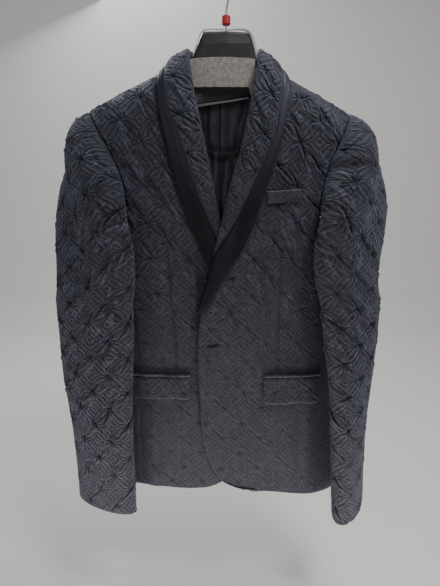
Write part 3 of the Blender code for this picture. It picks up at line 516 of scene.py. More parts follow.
def armhole(side, turn):
    """Points round the armhole, on the outside of the body."""
    turn = np.asarray(turn, float)
    z = read(ARMHOLE, "turn", "z", turn)
    swing = armhole_swing(side, turn)
    width = read(TORSO, "z", "width", z)
    return either_face(SIGN[side] * width * np.cos(np.radians(swing)) ** (2 / ROUND), z, side, swing)


def hem_z(x):
    return HEM_Z - HEM_TILT * x - HEM_DROOP * fade(x, 0.06, 0.17)


def side_seam(side, which, z):
    """Where the front or the back meets the side panel; it starts at the armhole."""
    turn = FRONT_SEAM_TURN if which == "front_x" else BACK_SEAM_TURN
    start = armhole(side, [turn])[0]
    low = SIGN[side] * read(SIDE_SEAMS[side], "z", which, z)
    return start[0] + (low - start[0]) * fade(start[2] - z, 0.0, SEAM_BLEND)


def hem_corner(side, which):
    """Height of the hem where the side panel meets the front or the back."""
    return float(hem_z(side_seam(side, which, np.array(HEM_Z))))


def neck_corner(side):
    """Where the shoulder seam starts at the neck, which sits a little to one side."""
    return SEAM_NECK_X + SIGN[side] * NECK_SHIFT


def seam_top(x, side):
    """Height of a panel's edge along the shoulder seam."""
    return ridge_z(x, side) - RIDGE * (1 - math.cos(2 * SEAM / RIDGE))


def sleeve_ring(side, turn, z):
    """One level ring of the hanging sleeve."""
    sign, rows = SIGN[side], SLEEVE[side]
    inner = np.stack([read(rows, "z", "inner_x", z), read(rows, "z", "inner_y", z)], -1)
    outer = np.stack([read(rows, "z", "outer_x", z), read(rows, "z", "outer_y", z)], -1)
    thick = read(rows, "z", "thick", z)[..., None]
    centre = (inner + outer) / 2
    reach = (inner - outer) / 2
    across = unit(reach)
    front = np.stack([-across[..., 1], across[..., 0]], -1)
    sine, cosine = np.sin(turn)[..., None], np.cos(turn)[..., None]
    flat = centre + reach * sine + front * thick * cosine
    return np.stack([sign * flat[..., 0], flat[..., 1], z + 0 * flat[..., 0]], -1)


# ---- The cloth's repeat, read off the photo and charted
FINE = 0.0023              # spacing of the points on what the photo shows
COARSE = 0.0036            # and on the hidden sides
EDGE_POINTS = 90           # points of a panel's long edges and short ones, before they are spaced evenly
SHORT_POINTS = 60
RING_POINTS = 200
SIDE_LONG = (0.16, 0.42)   # about how wide and long the side panels are, for their columns and rows
SLEEVE_LONG = (0.20, 0.37)             # about how long a sleeve's head and its tube are, for their rows
NUDGE = 1.5                # turn to either side that gives the way round the sleeve
REPEAT_WIDE = 0.0600       # one repeat of the stars, across and down
REPEAT_HIGH = 0.0540
SLEEVE_HIGH = 0.0557
STAR_X = {"left": 0.0125, "right": -0.0708}    # a column of stars on each front
STAR_Z = -0.5971           # the row of stars at the waist
COLUMN_LEAN = 0.05         # slant of the fronts' columns of stars, from this level
LEAN_FROM = -0.6
CHEST_LEVEL = -0.337       # above this the repeats are longer, by so many to a metre
CHEST_LONGER = 3.67
LOW_FULLNESS = 0.17        # puckers near the hem, against the chest's
FULL_ABOVE = (-0.60, -0.33)
SLEEVE_STAR = {"left": (47, 0.202), "right": (72, 0.192)}    # turn round the sleeve, and way down it
COLLAR_STAR = {"left": (0.030, 0.150), "right": (0.030, 0.135)}    # way out from the fold, and along it
# Front darts: x at the top and bottom, then their heights.
DARTS = {"left": (0.0943, 0.0906, -0.4091, -0.6165), "right": (-0.0806, -0.0693, -0.4135, -0.6120)}
DART_TAKE = 0.0085         # cloth that each dart takes up, all of it this far below its top
DART_OPENS = 0.10
DART_DEEP = 0.0011         # how far its seam sinks
DART_SEAM = (0.0004, 0.0030)
BELOW_COLLAR = (0.165, 0.185)          # the back's puckers start over these distances down
TURNED_EDGE = 0.0006       # how far a turned edge or seam sinks, how wide, and how dark the shade painted along it is
TURNED_WIDE = 0.0032
TURNED_DARK = 0.55

PINCH = 0.0016             # depth of the cloth at a star, and heights of petals, rings and creases
PETAL = 0.0015
RINGS = 0.0005
CREASE = 0.0019
# The figure's own sizes, in repeats and degrees. The relief and the finish both use them.
PETAL_TURNS = 6            # half as many as a star has petals
PETAL_END = (0.17, 0.27)   # they end over these distances from the star
RING_AT = 0.09             # the inner ring of a diamond, and from it to the next
RING_APART = 0.155
OPEN_FROM = (0.17, 0.23)   # from here out the rings are open at their corners
OPEN_CORNER = (0.72, 0.94)
CREASE_LEAN = -57          # the long crease through each star, and how much it varies
CREASE_VARIES = 11
CREASE_ENDS = (0.24, 0.42)
SECOND_LEAN = 74           # from it to the short crease that crosses it
SECOND_VARIES = 0.2
SECOND_ENDS = (0.10, 0.24)
GROOVE_AT = 0.012          # the groove, to one side of the crease's line


def path(points, count=160):
    """A smooth path through a few points."""
    points = np.array(points, float)
    place = way_along(points)
    at = np.linspace(0, place[-1], count)
    columns = {"place": place, "x": points[:, 0], "z": points[:, 1]}
    return np.stack([read(columns, "place", name, at) for name in "xz"], -1)


def spread(points, axis):
    """Distance along a grid's rows or columns, from their starts."""
    step = np.linalg.norm(np.diff(points, axis=axis), axis=-1)
    start = np.zeros_like(np.take(step, [0], axis=axis))
    return np.concatenate([start, np.cumsum(step, axis=axis)], axis=axis)


def from_edges(points, which="tblr"):
    """Distance to the nearest of a grid's named edges: top, bottom, left and right."""
    down, across = spread(points, 0), spread(points, 1)
    far = {"t": down, "b": down[-1:] - down, "l": across, "r": across[:, -1:] - across}
    return np.min([far[edge] for edge in which], axis=0)


def star_phase(star_a, star_b, kind):
    """The sine of this is a steady number for each star, in numbers or in nodes."""
    return star_a * (2.3 + 0.7 * kind) + star_b * (3.1 - 0.9 * kind) + float(kind)


def diamond_rings(diamond, corner):
    """Two rings round the dark middle of each diamond; the outer one is open at its corners."""
    wave = 0.5 + 0.5 * np.cos(2 * math.pi * (diamond - RING_AT) / RING_APART)
    return wave * fade(diamond, 0.02, 0.08) * (1 - fade(corner, *OPEN_CORNER) * fade(diamond, *OPEN_FROM))


def star_crease(x, y, lean, ends, strength):
    """A straight crease through each star: its groove, and the ridge beside it."""
    angle = np.radians(lean)
    long = x * np.cos(angle) + y * np.sin(angle)
    side = y * np.cos(angle) - x * np.sin(angle)
    strength = strength * (1 - fade(abs(long), *ends))
    groove = np.exp(-((side - GROOVE_AT) / 0.034) ** 2) * strength
    return groove, np.exp(-((side + 0.055) / 0.042) ** 2) * strength


def puckers(p, q, fullness, lean=CREASE_LEAN):
    """Height of the cloth, and the shade painted in its creases, at places given in repeats."""
    a, b = p + q, p - q
    star_a, star_b = np.round(a), np.round(b)
    x, y = (a - star_a + b - star_b) / 2, (a - star_a - b + star_b) / 2
    far_a, far_b = abs(a - np.floor(a) - 0.5), abs(b - np.floor(b) - 0.5)
    diamond = np.maximum(far_a, far_b)
    corner = np.minimum(far_a, far_b) / np.maximum(diamond, 1e-6)

    def vary(kind):
        return np.sin(star_phase(star_a, star_b, kind))

    away = np.hypot(x, y)
    near = 1 - fade(away, *PETAL_END)
    petals = np.cos(PETAL_TURNS * np.arctan2(y, x)) ** 2 * near * fade(away, 0.03, 0.12)
    pinch = np.exp(-(away / 0.115) ** 2) * (1 + 0.35 * vary(2))
    groove, ridge = star_crease(x, y, lean + CREASE_VARIES * vary(0),
                                (CREASE_ENDS[0], CREASE_ENDS[1] + 0.05 * vary(1)),
                                np.clip(0.80 + 0.4 * vary(3), 0, 1.2))
    second, beside = star_crease(x, y, lean + SECOND_LEAN * (1 + SECOND_VARIES * vary(4)),
                                 SECOND_ENDS, np.clip(0.45 + 0.5 * vary(5), 0, 1))
    groove, ridge = groove + 0.7 * second, ridge + 0.6 * beside
    height = PETAL * petals + RINGS * diamond_rings(diamond, corner) * (1 - near)
    height = height - PINCH * pinch + CREASE * (0.8 * ridge - groove)
    return height * fullness, groove * fullness


def creased(relief, shade, across, down, creases, dark):
    """Creases listed one by one, each from one place to another: a sharp groove with a ridge on its left."""
    for crease in creases:
        start, end, (wide, depth) = crease[:2], crease[2:4], crease[4:]
        length = np.linalg.norm(end - start)
        way = (end - start) / length
        x, y = across - start[0], down - start[1]
        along = (x * way[0] + y * way[1]) / length
        side = x * way[1] - y * way[0]
        ends = fade(along, -0.15, 0.3) * (1 - fade(along, 0.7, 1.15))
        groove = np.exp(-(side / wide) ** 2) * ends
        ridge = np.exp(-((side + 2.2 * wide) / (1.8 * wide)) ** 2) * ends
        relief = relief + depth * (0.8 * ridge - groove)
        # Shade is painted in each crease's groove.
        shade = shade + dark * groove
    return relief, shade


# ---- Building the cloth
def placed(name, data):
    thing = bpy.data.objects.new(name, data)
    bpy.context.collection.objects.link(thing)
    return thing


def smooth_mesh(name, shape):
    """The mesh of a finished bmesh."""
    mesh = bpy.data.meshes.new(name)
    shape.to_mesh(mesh)
    shape.free()
    mesh.shade_smooth()
    return mesh


def cloth(name, grid, repeats, finish, thickness, relief, shade, fullness=None, facing=1, across=None,
          inside=None):
    """A fine sheet on a solid's surface, moved by its relief and then given its thickness.

    Repeats say where the finish's pattern lies, across and down: in repeats of the stars or in metres.
    """
    rows, columns = grid.shape[:2]
    if across is None:
        across = np.gradient(grid, axis=1)
    normal = facing * unit(np.cross(np.gradient(grid, axis=0), across))
    points = grid + relief[..., None] * normal
    shape = bmesh.new()
    shape.loops.layers.uv.new("cloth")
    bmesh.ops.create_grid(shape, x_segments=columns - 1, y_segments=rows - 1, size=0.5, calc_uvs=True)
    if facing > 0:
        bmesh.ops.reverse_faces(shape, faces=shape.faces[:])
    mesh = smooth_mesh(name, shape)
    place = np.empty(len(mesh.vertices) * 3)
    mesh.vertices.foreach_get("co", place)
    place = place.reshape(-1, 3)
    column = np.rint((place[:, 0] + 0.5) * (columns - 1)).astype(int)
    row = np.rint((place[:, 1] + 0.5) * (rows - 1)).astype(int)
    mesh.vertices.foreach_set("co", points[row, column].ravel())
    corners = np.empty(len(mesh.loops), int)
    mesh.loops.foreach_get("vertex_index", corners)
    uv = np.stack(np.broadcast_arrays(*repeats), -1)
    mesh.uv_layers["cloth"].uv.foreach_set("vector", uv[row, column][corners].ravel())
    # The shade attribute is painted light: painted shade where it is positive, a painted highlight where it
    # is negative.
    for title, values in (("shade", shade), ("fullness", fullness)):
        layer = mesh.attributes.new(title, "FLOAT", "POINT")
        if values is not None:
            layer.data.foreach_set("value", np.broadcast_to(values, (rows, columns))[row, column])
    mesh.update()
    mesh.materials.append(finishes[finish])
    mesh.materials.append(finishes[inside or finish])
    piece = placed(name, mesh)
    shell = piece.modifiers.new("thickness", "SOLIDIFY")
    shell.thickness = thickness
    shell.offset = -1
    shell.material_offset = 1 if inside else 0
    return piece


def jacquard_cloth(name, grid, repeats, relief, shade, fullness, facing, finish="jacquard", **more):
    """A piece of the jacquard, with the lining's cloth on its inside."""
    return cloth(name, grid, repeats, finish, JACQUARD, relief, shade, fullness, facing,
                 **{"inside": "lining", **more})


def dressed(piece, kind, side=""):
    """Attach a cloth piece to the root and hide the solid that it stands for."""
    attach(piece, "root")
    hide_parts(kind + side)


# ---- Finishes
class Wire:
    """A value in a finish's nodes, so that a pattern can be written out like a sum."""

    def __init__(self, socket):
        self.socket = socket
        self.tree = socket.id_data

    def math(self, operation, *others, clamp=False):
        node = self.tree.nodes.new("ShaderNodeMath")
        node.operation = operation
        node.use_clamp = clamp
        for place, value in enumerate((self, *others)):
            set_input(node.inputs[place], value)
        return Wire(node.outputs[0])

    def __add__(self, other):
        return self.math("ADD", other)

    def __sub__(self, other):
        return self.math("SUBTRACT", other)

    def __mul__(self, other):
        return self.math("MULTIPLY", other)

    def clamped(self):
        """No lower than 0 and no higher than 1."""
        return self.math("ADD", 0.0, clamp=True)

    def flipped(self):
        """1 where this is 0."""
        return self.math("MULTIPLY_ADD", -1.0, 1.0)

    def size(self):
        return self.math("ABSOLUTE")

    def ramp(self, low, high):
        """0 below low and 1 above high, smooth between."""
        node = self.tree.nodes.new("ShaderNodeMapRange")
        node.interpolation_type = "SMOOTHSTEP"
        node.inputs["From Min"].default_value = low
        node.inputs["From Max"].default_value = high
        set_input(node.inputs["Value"], self)
        return Wire(node.outputs["Result"])

    def parts(self):
        """The X, Y and Z of a place."""
        node = self.tree.nodes.new("ShaderNodeSeparateXYZ")
        set_input(node.inputs[0], self)
        return [Wire(socket) for socket in node.outputs]

    def noise(self, scale, detail, output="Fac", **more):
        """Uneven values over this place."""
        return node_of(self.tree, "ShaderNodeTexNoise", output, Vector=self, Scale=scale, Detail=detail,
                       **more)


def set_input(socket, value):
    if isinstance(value, Wire):
        value.tree.links.new(value.socket, socket)
    else:
        socket.default_value = value


def node_of(tree, kind, output, **inputs):
    """A node with its inputs set or joined; gives one output."""
    node = tree.nodes.new(kind)
    for name, value in inputs.items():
        set_input(node.inputs[name.replace("_", " ")], value)
    return Wire(node.outputs[output])


def group_tree(name, value, *outputs):
    """An empty shader group of a Place and one more value; gives its tree and those two."""
    tree = bpy.data.node_groups.new(name, "ShaderNodeTree")
    tree.interface.new_socket("Place", in_out="INPUT", socket_type="NodeSocketVector")
    tree.interface.new_socket(value, in_out="INPUT", socket_type="NodeSocketFloat")
    for title in outputs:
        tree.interface.new_socket(title, in_out="OUTPUT", socket_type="NodeSocketFloat")
    start = tree.nodes.new("NodeGroupInput")
    return tree, Wire(start.outputs["Place"]), Wire(start.outputs[value])


def give(tree, **values):
    end = tree.nodes.new("NodeGroupOutput")
    for title, value in values.items():
        set_input(end.inputs[title], value)
    return tree


def crease_wires(x, y, angle, ends, strength):
    """The same groove and ridge as star_crease gives."""
    angle = angle.math("RADIANS")
    cosine, sine = angle.math("COSINE"), angle.math("SINE")
    along = (x * cosine + y * sine).size()
    side = y * cosine - x * sine
    strength = along.ramp(*ends).flipped() * strength
    groove = (side - GROOVE_AT).size().ramp(0.0, 0.030).flipped() * strength
    return groove, (side + 0.038).size().ramp(0.0, 0.034).flipped() * strength


def shaken(place, scale, amount):
    """A place moved a little, unevenly, so that what is drawn from it wavers."""
    moved = place.noise(scale, 2.0, "Color")
    for operation, values in (("SUBTRACT", [(0.5, 0.5, 0.5)]), ("MULTIPLY_ADD", [(amount,) * 3, place])):
        node = place.tree.nodes.new("ShaderNodeVectorMath")
        node.operation = operation
        for slot, value in enumerate([moved, *values]):
            set_input(node.inputs[slot], value)
        moved = Wire(node.outputs[0])
    return moved


def star_group():
    """Stars with twelve petals, ringed diamonds between them, and creases through each star."""
    tree, place, lean = group_tree("star_jacquard", "Lean", "Figure", "Relief", "Crease", "Crest")
    p, q = shaken(place, 4.5, 0.10).parts()[:2]
    a, b = p + q, p - q
    star_a, star_b = a.math("ROUND"), b.math("ROUND")
    off_a, off_b = a - star_a, b - star_b
    x, y = (off_a + off_b) * 0.5, (off_a - off_b) * 0.5
    far_a, far_b = (a.math("FRACT") - 0.5).size(), (b.math("FRACT") - 0.5).size()
    diamond = far_a.math("MAXIMUM", far_b)
    corner = far_a.math("MINIMUM", far_b).math("DIVIDE", diamond)

    def vary(kind):
        return star_phase(star_a, star_b, kind).math("SINE")

    away = (x * x + y * y).math("SQRT")
    near = away.ramp(*PETAL_END).flipped()
    around = y.math("ARCTAN2", x)
    spoke = (around * float(PETAL_TURNS)).math("COSINE").size()
    petals = near * spoke * spoke * away.ramp(0.02, 0.13)
    rings = ((diamond - RING_AT) * (2 * math.pi / RING_APART)).math("COSINE") * 0.5 + 0.5
    rings = rings * diamond.ramp(0.01, 0.06) * near.flipped()
    rings = rings * (corner.ramp(*OPEN_CORNER) * diamond.ramp(*OPEN_FROM)).flipped()
    groove, ridge = crease_wires(x, y, vary(0) * float(CREASE_VARIES) + lean, CREASE_ENDS,
                                 vary(3).math("MULTIPLY_ADD", 0.4, 0.80, clamp=True))
    turn = vary(4) * (SECOND_VARIES * SECOND_LEAN) + SECOND_LEAN + lean
    second, beside = crease_wires(x, y, turn, SECOND_ENDS,
                                  vary(5).math("MULTIPLY_ADD", 0.5, 0.45, clamp=True))
    groove, ridge = groove + second * 0.7, ridge + beside * 0.6
    valley = spoke.ramp(0.0, 0.40).flipped() * away.ramp(0.22, 0.30).flipped() * away.ramp(0.02, 0.06)
    here = place.noise(5.0, 1.0).ramp(0.44, 0.56)
    rays = ((around * 4.0).math("SINE") * away).size().ramp(0.004, 0.050).flipped()
    rays = rays * away.ramp(0.26, 0.44).flipped() * away.ramp(0.01, 0.04) * here
    # The third output is shade painted in the creases, valleys and rays; the last is a highlight painted on
    # the creases' ridges.
    return give(tree, Figure=petals * 1.1 + rings * 0.75 - away.ramp(0.05, 0.24).flipped() * 0.22,
                Relief=petals * 0.7 + rings * 0.45 + ridge * 0.8 - groove * 1.1 - rays * 0.6,
                Crease=(groove + valley * 0.30 + rays * 0.75).math("MINIMUM", 1.0), Crest=ridge)


def wrinkle_group():
    """Long thin wrinkles that run the way of Lean and waver: each a line of painted shade with a painted
    highlight beside it, which the bump also uses.
    """
    tree, place, lean = group_tree("wrinkles", "Lean", "Line", "Shine")
    x, y = place.parts()[:2]
    angle = lean.math("RADIANS")
    cosine, sine = angle.math("COSINE"), angle.math("SINE")
    stretched = node_of(tree, "ShaderNodeCombineXYZ", "Vector", X=(x * cosine + y * sine) * 0.6,
                        Y=(y * cosine - x * sine) * 3.4)
    wave = stretched.noise(1.0, 3.0, Roughness=0.55) - 0.5
    here = place.noise(2.1, 1.0).ramp(0.38, 0.52)
    return give(tree, Line=wave.size().ramp(0.0, 0.028).flipped() * here,
                Shine=(wave - 0.048).size().ramp(0.0, 0.034).flipped() * here)


def weave_group():
    """Fine crossed threads, a little uneven; Size is in threads to each unit of Place."""
    tree, place, size = group_tree("weave", "Size", "Thread", "Slub")
    x, y = [part * size for part in place.parts()[:2]]
    over = (x * math.pi).math("SINE") * (y * math.pi).math("SINE")
    twill = ((x + y) * (math.pi / 2)).math("SINE")
    slub = place.noise(size * 0.35, 2.0)
    return give(tree, Thread=over * 0.5 + twill * 0.35 + slub * 0.6, Slub=slub)


def wear_group():
    """Faint scuffs and dust on a moulded or metal face."""
    tree, place, size = group_tree("wear", "Size", "Scuff", "Grain")
    fine = place.noise(size * 14.0, 2.0)
    return give(tree, Scuff=place.noise(size, 4.0).ramp(0.46, 0.70) * fine.ramp(0.35, 0.75), Grain=fine)


def patterned(group, place, **value):
    """What a shader group gives at a place, by the names of its outputs."""
    node = place.tree.nodes.new("ShaderNodeGroup")
    node.node_tree = groups[group]
    for name, given in {"Place": place, **value}.items():
        set_input(node.inputs[name], given)
    return {socket.name: Wire(socket) for socket in node.outputs}


def new_finish(name, **values):
    """A material with its plain values set on the shader itself."""
    finish = bpy.data.materials.new(name)
    finish.use_nodes = True
    shader = finish.node_tree.nodes["Principled BSDF"]
    for title, value in values.items():
        shader.inputs[title.replace("_", " ")].default_value = value
    return finish, finish.node_tree


def finished(finish, colour, roughness, height, deep):
    """Join what changes over the surface to the finish's shader."""
    tree = finish.node_tree
    shader = tree.nodes["Principled BSDF"]
    set_input(shader.inputs["Base Color"], colour)
    set_input(shader.inputs["Roughness"], roughness)
    bump = node_of(tree, "ShaderNodeBump", "Normal", Height=height, Distance=deep)
    set_input(shader.inputs["Normal"], bump)
    return finish


def mixed(one, two, share):
    """A colour between two, by share."""
    node = share.tree.nodes.new("ShaderNodeMix")
    node.data_type = "RGBA"
    set_input(node.inputs["Factor"], share)
    for socket, value in ((node.inputs[6], one), (node.inputs[7], two)):
        set_input(socket, value if isinstance(value, Wire) else (*value, 1))
    return Wire(node.outputs[2])


def times(colour, amount):
    return [amount * part for part in colour]


def cloth_place(tree):
    node = tree.nodes.new("ShaderNodeUVMap")
    node.uv_map = "cloth"
    return Wire(node.outputs["UV"])


def object_place(tree):
    return Wire(tree.nodes.new("ShaderNodeTexCoord").outputs["Object"])


def painted(tree, name):
    node = tree.nodes.new("ShaderNodeAttribute")
    node.attribute_name = name
    return Wire(node.outputs["Fac"])


CLOTH_DARK = (0.0066, 0.0064, 0.0102)
CLOTH_LIGHT = (0.0490, 0.0475, 0.0665)
HIGHLIGHT_BRIGHT = 1.9         # the highlight painted on the creases' ridges, against the light cloth
SHADE_COLOUR = (0.0018, 0.0018, 0.0034)        # colour of the shade painted in creases, at seams and under edges
# The colour of the shade painted on the satin and the lining.
SATIN_SHADE = (0.0025, 0.0025, 0.003)


def jacquard_finish(name, lean, tone=1.0):
    """Two tones of thread, light on the figure, with broken patches and flecks, highlights painted on ridges
    and shade painted in creases.
    """
    finish, tree = new_finish(name, Specular_IOR_Level=0.26, Sheen_Weight=0.22, Sheen_Roughness=0.45,
                              Sheen_Tint=(0.66, 0.70, 1.0, 1))
    place, where = cloth_place(tree), object_place(tree)
    star = patterned("star", place, Lean=lean)
    wrinkle = patterned("wrinkle", place, Lean=lean)
    weave = patterned("weave", place, Size=88.0)
    full, shade = painted(tree, "fullness"), painted(tree, "shade")
    cloud, patches, fleck = where.noise(26.0, 2.0), where.noise(125.0, 2.0), where.noise(420.0, 2.0)
    broken = patches.ramp(0.34, 0.62) * 0.40 + 0.34
    figure = star["Figure"] * broken * (full * 0.35 + 0.62) + fleck * 0.50 - 0.22
    figure = (figure + patches * 0.40 + cloud * 0.36 - 0.26).clamped()
    light = times(CLOTH_LIGHT, tone)
    colour = mixed(times(CLOTH_DARK, tone), light, figure)
    # A highlight painted on the creases' and wrinkles' ridges, and where the shade attribute is negative.
    painted_highlight = (star["Crest"] * 0.5 + wrinkle["Shine"] * 0.55) * full - shade
    colour = mixed(colour, times(light, HIGHLIGHT_BRIGHT), painted_highlight.clamped())
    # Shade painted in the creases and wrinkles, and where the shade attribute is positive.
    deep = (star["Crease"] + wrinkle["Line"] * 0.8) * (full * 1.1 - 0.18) + shade * 0.9
    colour = mixed(colour, SHADE_COLOUR, deep.clamped())
    height = star["Relief"] + (wrinkle["Shine"] - wrinkle["Line"]) * 0.55
    height = height * (full * 0.95 + 0.03) + weave["Thread"] * 0.10 + fleck * 0.30
    return finished(finish, colour, star["Figure"] * -0.10 + weave["Slub"] * 0.12 + 0.58, height, 0.0027)


def satin_finish(name, colour, roughness, size, wrinkle, specular=0.10):
    """Close plain cloth with soft changes of tone; size is in threads to the metre."""
    finish, tree = new_finish(name, Specular_IOR_Level=specular)
    place, shade = cloth_place(tree), painted(tree, "shade")
    weave = patterned("weave", place, Size=size)
    soft = place.noise(34.0, 3.0, Distortion=0.6)
    tone = mixed(colour, times(colour, 2.1), soft.ramp(0.35, 0.75) * 0.6)
    # A highlight painted where the shade attribute is negative, and shade painted where it is positive.
    tone = mixed(tone, times(colour, 6.5), (shade * -1.0).clamped())
    tone = mixed(tone, SATIN_SHADE, shade.clamped())
    height = weave["Thread"] * 0.05 + soft * wrinkle
    return finished(finish, tone, weave["Slub"] * 0.14 + (roughness - 0.07), height, 0.001)


def moulded_finish(name, colour, worn, roughness, size=42.0, ribs=None, metallic=0.0):
    """A smooth moulded or metal face with faint wear; ribs are lines between two heights."""
    finish, tree = new_finish(name, Metallic=metallic)
    place = object_place(tree)
    wear = patterned("wear", place, Size=size)
    height, deep = wear["Grain"], 0.00012
    if ribs:
        level = place.parts()[2]
        wave = (level * (2 * math.pi / ribs["apart"])).math("SINE")
        inside = level.ramp(ribs["low"], ribs["low"] + 0.001)
        inside = inside * level.ramp(ribs["high"], ribs["high"] + 0.001).flipped()
        height, deep = wave * inside + height * 0.3, 0.0004
    return finished(finish, mixed(colour, worn, wear["Scuff"] * 0.55),
                    wear["Scuff"] * 0.22 + wear["Grain"] * 0.08 + roughness, height, deep)


def felt_finish():
    finish, tree = new_finish("felt", Specular_IOR_Level=0.15, Sheen_Weight=0.35, Sheen_Roughness=0.6)
    place = object_place(tree)
    fibre, cloud = place.noise(900.0, 4.0, Distortion=1.5), place.noise(190.0, 3.0)
    matted = fibre * 0.7 + cloud * 0.3
    colour = mixed((0.115, 0.096, 0.088), (0.400, 0.350, 0.325), matted.ramp(0.32, 0.68))
    return finished(finish, colour, fibre * 0.10 + 0.85, matted, 0.0006)


groups = {"star": star_group(), "wrinkle": wrinkle_group(), "weave": weave_group(), "wear": wear_group()}
# A solid's own material can have the same name, and then the new one's name ends in a number.
finishes = {finish.name.split(".")[0]: finish for finish in (
    jacquard_finish("jacquard", CREASE_LEAN),
    jacquard_finish("jacquard_sleeve_right", -CREASE_LEAN),
    satin_finish("satin", (0.0056, 0.0053, 0.0082), 0.46, 900.0, 0.35, 0.14),
    satin_finish("lining", (0.0700, 0.0670, 0.0880), 0.46, 1100.0, 0.8, 0.4),
    moulded_finish("plastic", (0.0130, 0.0110, 0.0110), (0.028, 0.024, 0.024), 0.34,
                   ribs=dict(low=-0.200, high=-0.1765, apart=0.0024)),
    # The neck's rim is painted pale grey on the black plastic: a painted highlight.
    moulded_finish("rim", (0.40, 0.40, 0.41), (0.58, 0.58, 0.585), 0.22),
    moulded_finish("wire", (0.62, 0.60, 0.57), (0.40, 0.37, 0.33), 0.20, 90.0, metallic=1.0),
    moulded_finish("red_ring", (0.42, 0.016, 0.022), (0.55, 0.07, 0.07), 0.34, 160.0),
    # The hanger's lip is painted paler than its plastic: a painted highlight along the hanger's lower edge.
    moulded_finish("lip", (0.095, 0.090, 0.086), (0.16, 0.15, 0.145), 0.36, 120.0),
    felt_finish(),
    # The jets are the jacquard painted 2.6 times lighter: a painted highlight where they catch the light.
    jacquard_finish("jet", CREASE_LEAN, 2.6),
    satin_finish("thread", (0.016, 0.018, 0.026), 0.55, 2600.0, 0.2),
)}


# ---- Panels of the body
def patch(side, face, edges, spacing):
    """A panel of the body from its four edges, each given as x and z."""
    flat = []
    for edge in edges:
        line = np.array(edge, float)
        run = drop_to_run(np.maximum(ridge_z(line[:, 0], side) - line[:, 1], 0))
        flat.append(np.stack([line[:, 0], run], -1))
    lengths = [np.linalg.norm(np.diff(e, axis=0), axis=1).sum() for e in flat]
    columns = round(max(lengths[:2]) / spacing)
    rows = round((lengths[2] + lengths[3]) / 2 / spacing)
    grid = coons(*(resample(line, count) for line, count in zip(flat, (columns, columns, rows, rows))))
    x, run = grid[..., 0], grid[..., 1]
    turn = np.minimum(run / RIDGE, math.pi / 2)
    drop = RIDGE * (1 - np.cos(turn)) + np.maximum(run - RIDGE_ARC, 0)
    z = ridge_z(x, side) - drop
    return x, z, ridge_z(x, side) - run, body(x, z, side, face)


def side_edge(side, which, turns):
    """A panel's edge down the armhole and then down its side seam, as x and z."""
    sign = SIGN[side]
    edge = [(p[0] - sign * SEAM, p[2]) for p in armhole(side, turns)]
    for z in np.linspace(edge[-1][1], hem_corner(side, which), EDGE_POINTS)[1:]:
        edge.append((side_seam(side, which, z) - sign * SEAM, z))
    return edge


def fuller_above(z):
    """The puckers are full on the chest and nearly flat towards the hem."""
    return LOW_FULLNESS + (1 - LOW_FULLNESS) * fade(z, *FULL_ABOVE)


def repeats_down(level):
    """Repeats below the star row at the waist; they are longer over the chest."""
    return (level - STAR_Z) / REPEAT_HIGH - CHEST_LONGER * np.maximum(level - CHEST_LEVEL, 0)


def front_repeats(side, x, level):
    """Repeats across and down a front."""
    slant = COLUMN_LEAN * (level - LEAN_FROM) * SIGN[side]
    return (x - STAR_X[side] - slant) / REPEAT_WIDE, repeats_down(level)


def turned(grid, which="tblr"):
    """How far a panel's turned edges sink, and the shade painted along their seams."""
    near = 1 - fade(from_edges(grid, which), 0, TURNED_WIDE)
    return -TURNED_EDGE * near, TURNED_DARK * near ** 3


